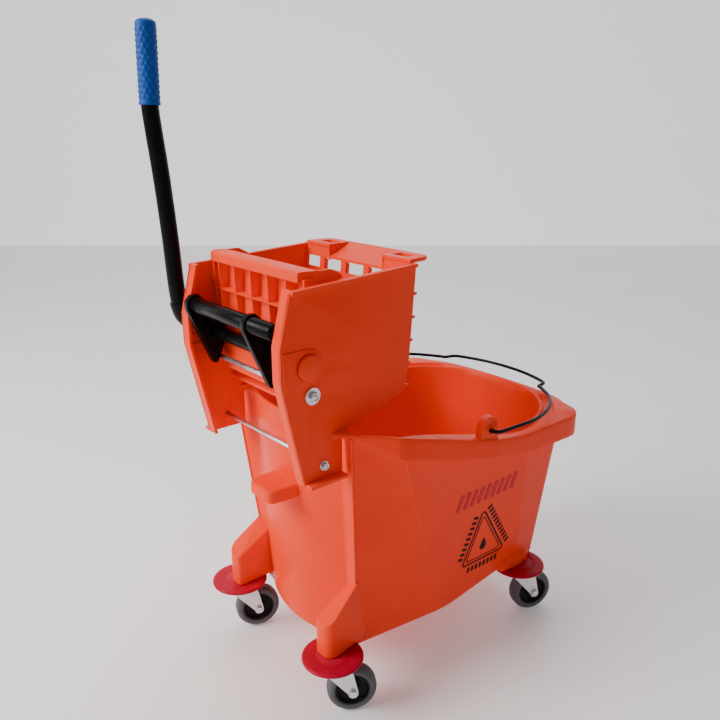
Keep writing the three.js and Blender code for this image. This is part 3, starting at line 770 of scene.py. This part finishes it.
def stroke(path, width):
    """A closed line's band on the near side wall."""
    sections = []
    for i, p in enumerate(path):
        along = (Vector(path[(i + 1) % len(path)]) - Vector(path[i - 1])).normalized()
        across = Vector((along.y, -along.x)) * width / 2
        outer, inner = Vector(p) + across, Vector(p) - across
        corners = ((outer, 0.4), (inner, 0.4), (inner, -0.4), (outer, -0.4))
        sections.append([on_side(*place, out) for place, out in corners])
    return Shape().loop(sections)


def dense(outline):
    """A closed outline with extra points, so that it follows a curved wall."""
    spacing = 2.5
    result = []
    for i, a in enumerate(outline):
        b = outline[(i + 1) % len(outline)]
        steps = max(1, round((Vector(b) - Vector(a)).length / spacing))
        result += [a] + between(a, b, steps)
    return result


def creases(shape):
    """Fine raised lines down the ridge and the shoulder of one side."""
    for line, top in ((RIDGE, 406), (SHOULDER, 441)):
        path = []
        for k in range(13):
            z = lerp(82, top, k / 12)
            x, y = blend(*line, rise(z))
            path.append((x, y - 1.1, z))
        shape.tube(path, 1.7, 14)
    return shape


def build_bucket():
    piece("bucket_shell", bucket_shell(), "bucket", ORANGE, ["bucket"], sharp=38)
    piece("bucket_posts", Shape().both_sides(rear_posts), "bucket", ORANGE, bevel=1.4)
    piece("bucket_pads", Shape().both_sides(front_pads), "bucket", ORANGE, bevel=1.6)
    piece("bucket_creases", Shape().both_sides(creases), "bucket", ORANGE, sharp=60)
    piece("bucket_ears", Shape().both_sides(ears), "bucket", ORANGE, bevel=2.2, segments=4)
    piece("bucket_tab", tilt_tab(), "bucket", ORANGE, bevel=5, segments=5)


MARK = [(54, 147), (156, 147), (86, 250)]


def ribbon(ends, half_width):
    """A straight band on the near side wall, built in short stretches that follow it."""
    a, b = Vector(ends[0]), Vector(ends[1])
    across = Vector((b.y - a.y, a.x - b.x)).normalized() * half_width
    steps = max(2, round((b - a).length / 3))
    lines = []
    for k in range(steps + 1):
        p = a.lerp(b, k / steps)
        pinch = 1 - 0.25 * (k in (0, steps))
        places = [p + across * pinch * w for w in (-1, -0.5, 0, 0.5, 1)]
        back = [on_side(x, z, -0.4) for x, z in reversed(places)]
        lines.append([on_side(x, z, 0.5) for x, z in places] + back)
    return Shape().stack(lines)


def hatch_beside(shape, a, b, length):
    """A row of plain strokes beside one edge of the mark."""
    a, b = Vector(a), Vector(b)
    along = (b - a).normalized()
    out = Vector((along.y, -along.x))
    middle = (a + b) / 2 + out * 12
    pitch = 9.5
    count = round(length / pitch)
    for k in range(count):
        centre = middle + along * (k - (count - 1) / 2) * pitch
        shape.join(ribbon([centre - out * 5.5, centre + out * 5.5], 2.6))


def build_mark():
    """A generic wet-floor mark: a double triangle round a drop, hatching beside it and stripes above."""
    black, red = Shape(), Shape()
    centre = Vector((sum(x for x, _ in MARK) / 3, sum(z for _, z in MARK) / 3))
    for size, width in ((1.0, 3.2), (0.82, 1.8)):
        outline = [tuple(centre + (Vector(p) - centre) * size) for p in MARK]
        black.join(stroke(dense(rounded(outline, 7 * size, 6)), width))
    right = [(4.5, 9), (8.2, 1.5), (8.8, -4), (6.4, -9)]
    drop = [(0, 17), *right, (0, -11.5), *[(-x, z) for x, z in reversed(right)]]
    black.add(*on_wall([(99 + x * 0.85, 176 + z * 0.85) for x, z in drop]))
    for i, length in enumerate((78, 112, 90)):
        hatch_beside(black, MARK[i], MARK[(i + 1) % 3], length)
    for k in range(9):
        x = 20 + k * 16
        red.join(ribbon([(x, 267), (x + 9, 296)], 4.5))
    piece("mark_black", black, "bucket", INK_BLACK)
    piece("mark_red", red, "bucket", INK_RED)


# ---------- plates with holes ----------


def plate(outline, holes, thickness, edge, place):
    """A flat plate with holes and rounded edges. place maps (u, v, distance from the middle) to a point."""
    curve = bpy.data.curves.new("outline", "CURVE")
    curve.dimensions = "2D"
    curve.fill_mode = "BOTH"
    curve.extrude = thickness / 2 - edge
    curve.bevel_depth = edge
    curve.bevel_resolution = 2
    curve.offset = -edge
    for line in [outline, *holes]:
        spline = curve.splines.new("POLY")
        spline.points.add(len(line) - 1)
        for point, (u, v) in zip(spline.points, line):
            point.co = (u, v, 0, 1)
        spline.use_cyclic_u = True
    made = bpy.data.objects.new("outline", curve)
    bpy.context.scene.collection.objects.link(made)
    mesh = bpy.data.meshes.new_from_object(made.evaluated_get(bpy.context.evaluated_depsgraph_get()))
    points = [place(*v.co) for v in mesh.vertices]
    faces = [tuple(p.vertices) for p in mesh.polygons]
    bpy.data.objects.remove(made)
    bpy.data.curves.remove(curve)
    bpy.data.meshes.remove(mesh)
    return points, faces


def at_y(y):
    return lambda u, v, w: (u, y + w, v)


def at_z(z):
    return lambda u, v, w: (u, v, z + w)


def window(u0, u1, v0, v1, radius=1.2):
    return rounded(rectangle(u0, u1, v0, v1), radius, 3)


# ---------- castors ----------


def bumper_shape(place):
    turns = [math.radians(a) for a in range(-90, 91, 15)]
    rim = [(43 + 3 * math.cos(a), 93.6 + 3 * math.sin(a)) for a in turns]
    profile = [(6, 90.6), (26, 90.6), (27.5, 91.4), (29, 90.6), *rim, (27, 96.6), (25.5, 96.1), (24, 96.6),
               (6, 96.6)]
    return Shape().lathe(profile, 96, transform=place)


def stem_shape(place):
    collar = [(0.01, 84.3), (14.5, 84.3), (16, 85.2), (17, 86.6), (17, 88.6), (16.2, 90.1), (0.01, 90.1)]
    return Shape().lathe(collar, 48, transform=place)


def fork_shape(place):
    shape = Shape()
    crown = [(4, 80.9), (17.5, 80.9), (19, 82), (19, 83.3), (17.8, 83.9), (4, 83.9)]
    shape.lathe(crown, 48, transform=place)
    bridge = rounded(rectangle(-13, 24, -17.6, 17.6), [5, 3, 3, 5], 4)
    shape.add(*plate(bridge, [], 3, 0.7, at_z(82.2)), place)
    leg = rounded([(-13, 83.2), (24, 83.2), (29, 69), (TRAIL + 8, WHEEL_Z), (TRAIL, WHEEL_Z - 8),
                   (TRAIL - 7.6, WHEEL_Z - 1), (-13, 75)], [2, 2, 6, 6, 7, 5, 4], 5)
    eye = ring(*AXLE, 4.2, 24)
    for side in (-1, 1):
        shape.add(*plate(leg, [eye], 3, 0.6, at_y(side * 16.2)), place)
    return shape


def axle_shape(place):
    shape = Shape()
    bolt = [(0.01, -20.5), (3.2, -20.5), (4, -19.8), (4, 20.3), (3.4, 20.9), (0.01, 20.9)]
    shape.lathe(bolt, 24, AXLE, place)
    for side in (-1, 1):
        washer = rectangle(4, 7.6, side * 17.8, side * 18.6)
        shape.lathe(washer, 32, AXLE, place)
        shape.add(*plate(ring(*AXLE, 6.3, 6), [], 2.8, 0.5, at_y(side * 20)), place)
    return shape


def tyre_shape(place):
    tread = [(37.5, y) for y in (-5, -1)] + [(37.2, -0.6), (37.2, 0.6)] + [(37.5, y) for y in (1, 5)]
    shoulder = [(30, 12.4), (33.2, 11.6), (35.4, 9.8), (36.8, 7.6)]
    profile = [(26, -10.5), (27, -12.0)] + [(r, -y) for r, y in shoulder] + tread
    profile += [(r, y) for r, y in reversed(shoulder)] + [(27, 12.0), (26, 10.5)]
    return Shape().lathe(profile, 96, AXLE, place)


def hub_shape(place):
    half = [(25.8, 10.8), (24.8, 11.4), (23.6, 10.9), (22.6, 8.2), (21, 6.4), (13, 5.4), (11.4, 6.4),
            (10.4, 11.4), (9.6, 12.3), (4.4, 12.4)]
    profile = [(r, -y) for r, y in reversed(half)] + half
    return Shape().lathe(profile, 80, AXLE, place)


def build_castor(name):
    x, y, heading = CASTORS[name]
    fixed = Matrix.Translation((x, y, 0))
    place = fixed @ Matrix.Rotation(math.radians(heading), 4, "Z")
    piece(f"{name}_ring", bumper_shape(fixed), "bucket", CRIMSON, [f"castor_{name}_bumper"], sharp=50)
    piece(f"{name}_collar", stem_shape(fixed), "bucket", ZINC, [f"castor_{name}_stem"], sharp=50)
    swivel, wheel = f"castor_{name}_swivel", f"castor_{name}_wheel"
    piece(f"{name}_yoke", fork_shape(place), swivel, ZINC, [f"castor_{name}_fork"])
    piece(f"{name}_bolt", axle_shape(place), swivel, ZINC, [f"castor_{name}_axle"])
    piece(f"{name}_tread", tyre_shape(place), wheel, TYRE, [f"castor_{name}_tyre"], sharp=60)
    piece(f"{name}_core", hub_shape(place), wheel, HUB_BLACK, [f"castor_{name}_hub"], sharp=45)


# ---------- bail ----------

# half of the bail from above: how far ahead of the ears, and how far from the middle line
BAIL_HALF = [(0, 185), (0, 196), (0, 206.5), (2.5, 212.5), (12, 215), (45, 215), (83, 214), (119, 206.5),
             (152, 194), (182, 177), (209, 153), (232, 122), (238, 112), (253, 109), (263, 103), (274, 78),
             (284, 40), (287, 0)]


def build_bail():
    half = [(EAR[0] + x, y, EAR[1] - 0.045 * x) for x, y in BAIL_HALF]
    points = [(x, -y, z) for x, y, z in half] + half[-2::-1]
    bar = Shape().tube(curve_through(points, 8), 2.95, 16)
    piece("bail_bar", bar, "bail", BLACK_STEEL, ["bail_handle"], sharp=60)


# ---------- wringer ----------

FRONT_EDGE = [(-237, 381), (-270, 530), (-270, 578), (-252, 647)]
PLATE = [FRONT_EDGE[0], (-174, 381), (-174, 446.4), (-150, 446.4), (-58, REAR_WALL_FOOT_Z), (-50, 526),
         (-40, 657), *FRONT_EDGE[:0:-1]]


def side_plate(shape):
    outline = rounded(PLATE, [2, 3, 2, 2, 5, 10, 3, 3, 12, 12], 4)
    holes = [ring(*SHAFT, 13.2, 40), ring(*PIVOT, 4.3, 20), ring(*TIE, 3.3, 20)]
    shape.add(*plate(outline, holes, 5, 0.7, at_y(123.5)))
    back = [(x + 4.5, z + 0.5) for x, z in FRONT_EDGE]
    corners = [0, 10, 10, 0, 0, 9, 9, 0]
    strip = rounded(FRONT_EDGE + back[::-1], corners, 4)
    shape.prism_y(strip, 107, 125.9)
    shape.prism_y([(-237, 381), (-174, 381), (-174, 385.5), (-236, 385.5)], 125, 138.8)
    shape.prism_y([(-251.5, 642.2), (-40, 652.2), (-40, 656.8), (-252, 646.8)], 120.5, 129.3)
    pad = hull([(-267, 525), (-267, 571)] + ring(*SHAFT, 24, 48))
    shape.add(*plate(pad, [ring(*SHAFT, 17.6, 48)], 2.4, 0.6, at_y(126.4)))
    for z in (527, 542):
        shape.prism_y(rectangle(-266, -238, z - 1.4, z + 1.4), 119.2, INNER_Y)
    shape.prism_y([(-262, 600), (-259.5, 600), (-250, 640), (-252.5, 640)], 119.5, INNER_Y)
    return shape


def rear_wall_x(z):
    """The perforated wall's face on the press side; the wall leans back a tenth of its height."""
    return -62 + 0.1 * (z - REAR_WALL_FOOT_Z)


def wall_tilt(u, v, w):
    """Maps the rear wall's plate, u across and v up, onto its leaning plane."""
    return (rear_wall_x(v) + 2.25 + w, u, v)


def flange_end(shape):
    """The flat far end of the top flange with its slot, and the web beside the sloping recess."""
    outline = rounded([(-46, 60.2), (0, 60.2), (0, 114), (-46, 120)], [0, 2, 20, 2], 8)
    shape.add(*plate(outline, [window(-33, -14, 68, 98, 3)], 5.6, 0.9, at_z(659)))
    return shape.prism_y([(-45.8, 636.5), (-4, 656.2), (-4, 661.2), (-45.8, 661.2)], 60.4, 62.8)


def build_wringer():
    shape = Shape()
    shape.both_sides(side_plate)
    holes = []
    for row in range(5):
        for column in range(-2, 3):
            u, v = column * POCKET_PITCH[0], 631 - row * POCKET_PITCH[1]
            holes.append(window(max(u - 20, -117), min(u + 20, 117), v - 8.5, v + 8.5))
    right = [(INNER_Y, REAR_WALL_FOOT_Z), (INNER_Y, 656), (60, 656), (60, 641)]
    wall = [(-INNER_Y, REAR_WALL_FOOT_Z), *right, *[(-u, v) for u, v in right[:0:-1]]]
    shape.add(*plate(wall, holes, 4.5, 0.6, wall_tilt))
    for row in range(5):
        z = 614.5 - row * POCKET_PITCH[1]
        x = rear_wall_x(z)
        rib = [(x + 3, z - 2.5), (x + 10.8, z - 1.6), (x + 10.8, z + 1.6), (x + 3, z + 2.5)]
        shape.prism_y(rib, -125.8, 125.8)
    for rib in range(4):
        u = (rib - 1.5) * POCKET_PITCH[0]
        shape.prism_y([(-57, 480), (-51.2, 480), (-35.2, 636), (-41, 636)], u - 2.2, u + 2.2)
    slope = [(-46, 639.6), (-40, 639.6), (-0.3, 655.2), (-0.2, 661.8), (-4.6, 661.8), (-45.8, 643.4)]
    shape.prism_y(slope, -60.6, 60.6)
    shape.both_sides(flange_end)
    slots = []
    for column in range(-3, 4):
        for u0, u1 in ((-180, -128), (-118, -72)):
            slots.append(window(u0, u1, column * 30 - 8, column * 30 + 8, 2))
    floor = rectangle(-196, -60, -INNER_Y, INNER_Y)
    shape.add(*plate(floor, slots, 4.5, 0.6, lambda u, v, w: (u, v, 466.2 + (u + 196) * 0.0735 + w)))
    piece("wringer_body", shape, "wringer", ORANGE, ["wringer_frame"], bevel=0.8, segments=2, angle=40)


def lip_plan(narrower):
    """The press plate's lip from above: cut at an angle at its near end, pointed at its far end."""
    w = PRESS_HALF_WIDTH
    front = -226 + narrower
    return [(front, -w + 9 - narrower), (-204, -w), (-200.4, -w), (-200.4, w), (-204, w), (-215, w + 6),
            (front, w - 3)]


def build_press_plate():
    w = PRESS_HALF_WIDTH
    shape = Shape()
    shape.prism_y([(-213.5, 488.5), (-209.5, 488.5), (-200.2, 655), (-204.2, 655)], -w, w)
    lip = ((1, 650.4), (0.2, 651), (0.2, 662.4), (1.6, 663.8), (4.5, 664.9))
    shape.stack([[(x, y, z) for x, y in lip_plan(narrower)] for narrower, z in lip])
    edge = [(-213, 500), (-205, 500), (-202, 655), (-222, 655), (-218, 580), (-211.5, 566), (-211.5, 530)]
    for y in (-70, -27.5, 14, 55.5, 97):
        shape.prism_y(edge, y - 1.5, y + 1.5)
    shape.prism_y(rectangle(-219, -203, 608.9, 612.1), -w, w)
    shape.prism_y(rectangle(-216, -205, 544, 547), -w, w)

    def end(part):
        lug = hull(ring(*PIVOT, 9, 32) + [(-207, 491), (-207, 522)])
        part.add(*plate(lug, [ring(*PIVOT, 4.3, 20)], 3.8, 0.5, at_y(w - 2)))
        part.prism_y(edge, w - 3.8, w)
        corners = [(-206, 664.4), (-204, 641), (-160, 650.5), (-163, 656), (-178, 664)]
        wing = rounded(corners, [1, 3, 1.5, 2, 5], 3)
        part.prism_y(wing, w - 3.6, w + 0.1)
        stop = window(-222, -210, 620, 630, 1.5)
        return part.prism_y(stop, w - 1, w + 4.9)

    shape.both_sides(end)
    piece("press_plate_body", shape, "press_plate", ORANGE, ["press_plate"], bevel=0.8, segments=2, angle=40)


def bar_y(centre, radius, y0, y1, sides=40):
    """A turned bar along Y with chamfered ends."""
    profile = [(0.01, y0), (radius - 0.8, y0), (radius, y0 + 0.8), (radius, y1 - 0.8), (radius - 0.8, y1),
               (0.01, y1)]
    return Shape().lathe(profile, sides, centre)


def build_rod(name, centre, radius, reach, washer, nut):
    piece(f"{name}_bar", bar_y(centre, radius, -reach, reach, 28), "wringer", ZINC, [name], sharp=50)
    for place, side in SIDES:
        start = side * 126.4
        seat = side * (126.8 + washer[1])
        profile = [(radius + 0.3, start), (washer[0] - 0.4, start), (washer[0], start + side * 0.5),
                   (washer[0] - 0.5, start + side * washer[1]), (radius + 0.3, start + side * washer[1])]
        piece(f"{name}_disc_{place}", Shape().lathe(profile, 48, centre), "wringer", ZINC,
              [f"{name}_washer_{place}"], sharp=50)
        bore = ring(*centre, radius + 0.2, 20)
        hexagon = plate(ring(*centre, nut[0], 6), [bore], nut[1], 0.7, at_y(seat + side * nut[1] / 2))
        shape = Shape().add(*hexagon)
        piece(f"{name}_hex_{place}", shape, "wringer", ZINC, [f"{name}_nut_{place}"], sharp=40)


def build_bushes():
    """The near bush is closed over the shaft's end, and the shaft runs on through the far one."""
    closed, through = [(0.01, 132.9), (0.01, 129.5), (10.4, 129.5)], [(10.4, 130)]
    for (name, side), bore in zip(SIDES, (closed, through)):
        tip = bore[0][1]
        profile = [(10.4, 118.2), (12.9, 118.2), (12.9, 127.7), (16.6, 127.7), (17, 128.4), (17, tip - 1.6),
                   (16.5, tip - 0.5), (15.2, tip), *bore]
        shape = Shape().lathe([(r, side * y) for r, y in profile], 56, SHAFT)
        piece(f"bush_{name}", shape, "wringer", ORANGE, [f"shaft_bush_{name}"], sharp=50)


def build_arms():
    boss = arc(*PUSH_BAR, 14.9, 22.5, 337.5, 7)
    outline = hull(boss + ring(SHAFT[0], SHAFT[1] - 2, 16.4, 40) + ring(-234.5, 505.5, 5.4, 24))
    for (name, _), y in zip(SIDES, ARM_YS):
        shape = Shape().add(*plate(outline, [], 9.8, 1.2, at_y(y)))
        disc = [(0.01, -6.2), (5.2, -6.2), (6, -5.6), (6, 5.6), (5.2, 6.2), (0.01, 6.2)]
        shape.lathe([(r, y + v) for r, v in disc], 32, (PUSH_BAR[0] - 2, PUSH_BAR[1] + 1))
        piece(f"arm_{name}", shape, "press_handle", BLACK_STEEL, [f"press_arm_{name}"], bevel=0.5, angle=50)


def build_springs():
    for name, y, length, turns in (("near", -79, 12, 4.4), ("far", 107.7, 8.2, 2.4)):
        path = [(-247, y - 0.4, 567), (-244.6, y - 0.2, 561)]
        steps = round(26 * turns)
        coil = arc(*SHAFT, 13.3, 150, 150 + 360 * turns, steps)
        path += [(x, y + i / steps * length, z) for i, (x, z) in enumerate(coil)]
        end = y + length + 0.4
        path += [(-234, end, 527), (-232, end, 519)]
        piece(f"spring_{name}", Shape().tube(curve_through(path, 2), 1.15, 10), "wringer", ZINC,
              [f"return_spring_{name}"], sharp=60)


HANDLE_PATH = [(-246, 558), (-257, 570), (-263, 590), (-266, 620), (-269, 680), (-275, 764), (-281.4, 830),
               (-284, 864), (-282.9, 902), (-281.4, 962)]


def build_handle():
    path = [(x, HANDLE_Y, z) for x, z in HANDLE_PATH]
    piece("lever_tube", Shape().tube(curve_through(path, 8), 11.95, 32), "press_handle", BLACK_STEEL,
          ["handle_tube"], sharp=60)
    hub = [(10.4, 132.2), (16.4, 132.2), (18, 133.8), (18, 156), (16.4, 157.8), (10.4, 157.8)]
    shape = Shape().lathe(hub, 56, SHAFT)
    shape.tube(curve_through([(-233, HANDLE_Y, 549)] + path[:3], 6), 14.4, 32)
    piece("lever_socket", shape, "press_handle", BLACK_STEEL, ["handle_socket"], bevel=0.7, angle=50)


GRIP_RADIUS = 13.8
GRIP_CAP = 102
DOT_ROW = 7.0
DOTS_ROUND = 12
DOT_RADIUS = 2.4


def grip_radius(angle, height):
    """A sleeve with raised dots in staggered rows, a collar at its mouth and a domed end."""
    if height < 5:
        return GRIP_RADIUS + 0.7
    if height > GRIP_CAP:
        return GRIP_RADIUS * math.sqrt(clamp(1 - ((height - GRIP_CAP) / 6.2) ** 2 * 0.85))
    if height < 8 or height > 99:
        return GRIP_RADIUS
    row = math.floor(height / DOT_ROW)
    step = 2 * math.pi / DOTS_ROUND
    across = ((angle + step / 2 * (row % 2)) % step - step / 2) * GRIP_RADIUS
    along = height - (row + 0.5) * DOT_ROW
    dot = clamp(1 - (across ** 2 + along ** 2) / DOT_RADIUS ** 2)
    return GRIP_RADIUS + 0.75 * math.sqrt(dot)


def build_grip():
    tilt = Matrix.Translation((-284, HANDLE_Y, 863)) @ Matrix.Rotation(math.atan2(3, 108), 4, "Y")
    angles = [math.radians(3 * k) for k in range(120)]
    levels = []
    for height in [0.4] + [k * 0.9 for k in range(1, 120)] + [107.9]:
        reach = [(grip_radius(a, height), a) for a in angles]
        levels.append([(r * math.cos(a), r * math.sin(a), height) for r, a in reach])
    piece("lever_grip", Shape().stack(levels, tilt), "press_handle", GRIP_BLUE, ["handle_grip"], sharp=50)


def build_mechanism():
    shaft, push_bar = bar_y(SHAFT, 10, -129, HANDLE_Y + 9.9), bar_y(PUSH_BAR, 11, -104.8, 104.8)
    piece("shaft_bar", shaft, "press_handle", BLACK_STEEL, ["press_shaft"], sharp=50)
    piece("push_bar_tube", push_bar, "press_handle", BLACK_STEEL, ["push_bar"], sharp=50)
    build_rod("pivot_rod", PIVOT, 4, 133.8, (12, 2), (7, 5))
    build_rod("tie_rod", TIE, 3, 132, (7, 1.2), (5.5, 4))
    build_bushes()
    build_arms()
    build_springs()
    build_handle()
    build_grip()


# ---------- room, light, camera ----------


def stage_material(name, colour, clouded, glow):
    n = Nodes(name)
    base = n.mix(n.fit(n.noise(1.5, 4.0), 0.3, 0.7), colour, clouded)
    n.set(Base_Color=base, Roughness=n.fit(n.noise(6.0), 0.3, 0.7, 0.45, 0.6))
    n.set(Normal=n.bump(n.noise(60.0, 4.0), 0.05, 0.002))
    n.set(Emission_Color=colour, Emission_Strength=glow)
    return n.material


def build_stage():
    floor = bpy.data.objects.new("floor", bpy.data.meshes.new("floor"))
    floor.data.from_pydata([(-12, -12, 0), (12, -12, 0), (12, 12, 0), (-12, 12, 0)], [], [(0, 1, 2, 3)])
    light, clouded = rgb(0.88, 0.85, 0.855), rgb(0.84, 0.815, 0.82)
    floor.data.materials.append(stage_material("pale_floor", light, clouded, 0.2))
    wall = bpy.data.objects.new("backdrop", bpy.data.meshes.new("backdrop"))
    across, ahead = Vector((-0.761, 0.649, 0)) * 9, Vector((0.649, 0.761, 0)) * 4.2
    foot = [ahead - across, ahead + across]
    head = [p + Vector((0, 0, 7)) for p in reversed(foot)]
    wall.data.from_pydata([tuple(p) for p in foot + head], [], [(0, 1, 2, 3)])
    pale = rgb(0.84, 0.825, 0.835)
    wall.data.materials.append(stage_material("pale_wall", pale, rgb(0.82, 0.805, 0.815), 0.7))
    for made in (floor, wall):
        bpy.context.scene.collection.objects.link(made)
    world = bpy.data.worlds.new("studio")
    world.use_nodes = True
    world.node_tree.nodes["Background"].inputs["Color"].default_value = (0.81, 0.795, 0.81, 1.0)
    world.node_tree.nodes["Background"].inputs["Strength"].default_value = 0.37
    bpy.context.scene.world = world


def area_light(name, place, target, size, power, colour):
    light = bpy.data.lights.new(name, "AREA")
    light.shape = "RECTANGLE"
    light.size, light.size_y = size
    light.energy = power
    light.color = colour
    made = bpy.data.objects.new(name, light)
    made.location = place
    made.rotation_mode = "QUATERNION"
    made.rotation_quaternion = (Vector(target) - Vector(place)).to_track_quat("-Z", "Y")
    bpy.context.scene.collection.objects.link(made)


def build_camera():
    camera = bpy.data.cameras.new("camera")
    camera.sensor_width = 36
    camera.lens = 37.13
    made = bpy.data.objects.new("camera", camera)
    yaw, pitch = math.radians(49.54), math.radians(17.7)
    ahead = Vector((math.cos(pitch) * math.cos(yaw), math.cos(pitch) * math.sin(yaw), -math.sin(pitch)))
    made.location = (-0.77365, -0.84507, 0.84040)
    made.rotation_mode = "QUATERNION"
    made.rotation_quaternion = ahead.to_track_quat("-Z", "Y")
    bpy.context.scene.collection.objects.link(made)
    bpy.context.scene.camera = made


build_camera()
build_stage()
area_light("window", (-2.5, 1.0, 2.0), (0, 0, 0.3), (1.5, 1.5), 112, (1.0, 0.985, 0.97))
area_light("ceiling", (0.5, 0.9, 3.0), (0, 0, 0.2), (2.4, 2.4), 40, (0.98, 0.985, 1.0))
build_bucket()
build_mark()
for castor in CASTORS:
    build_castor(castor)
build_bail()
build_wringer()
build_press_plate()
build_mechanism()
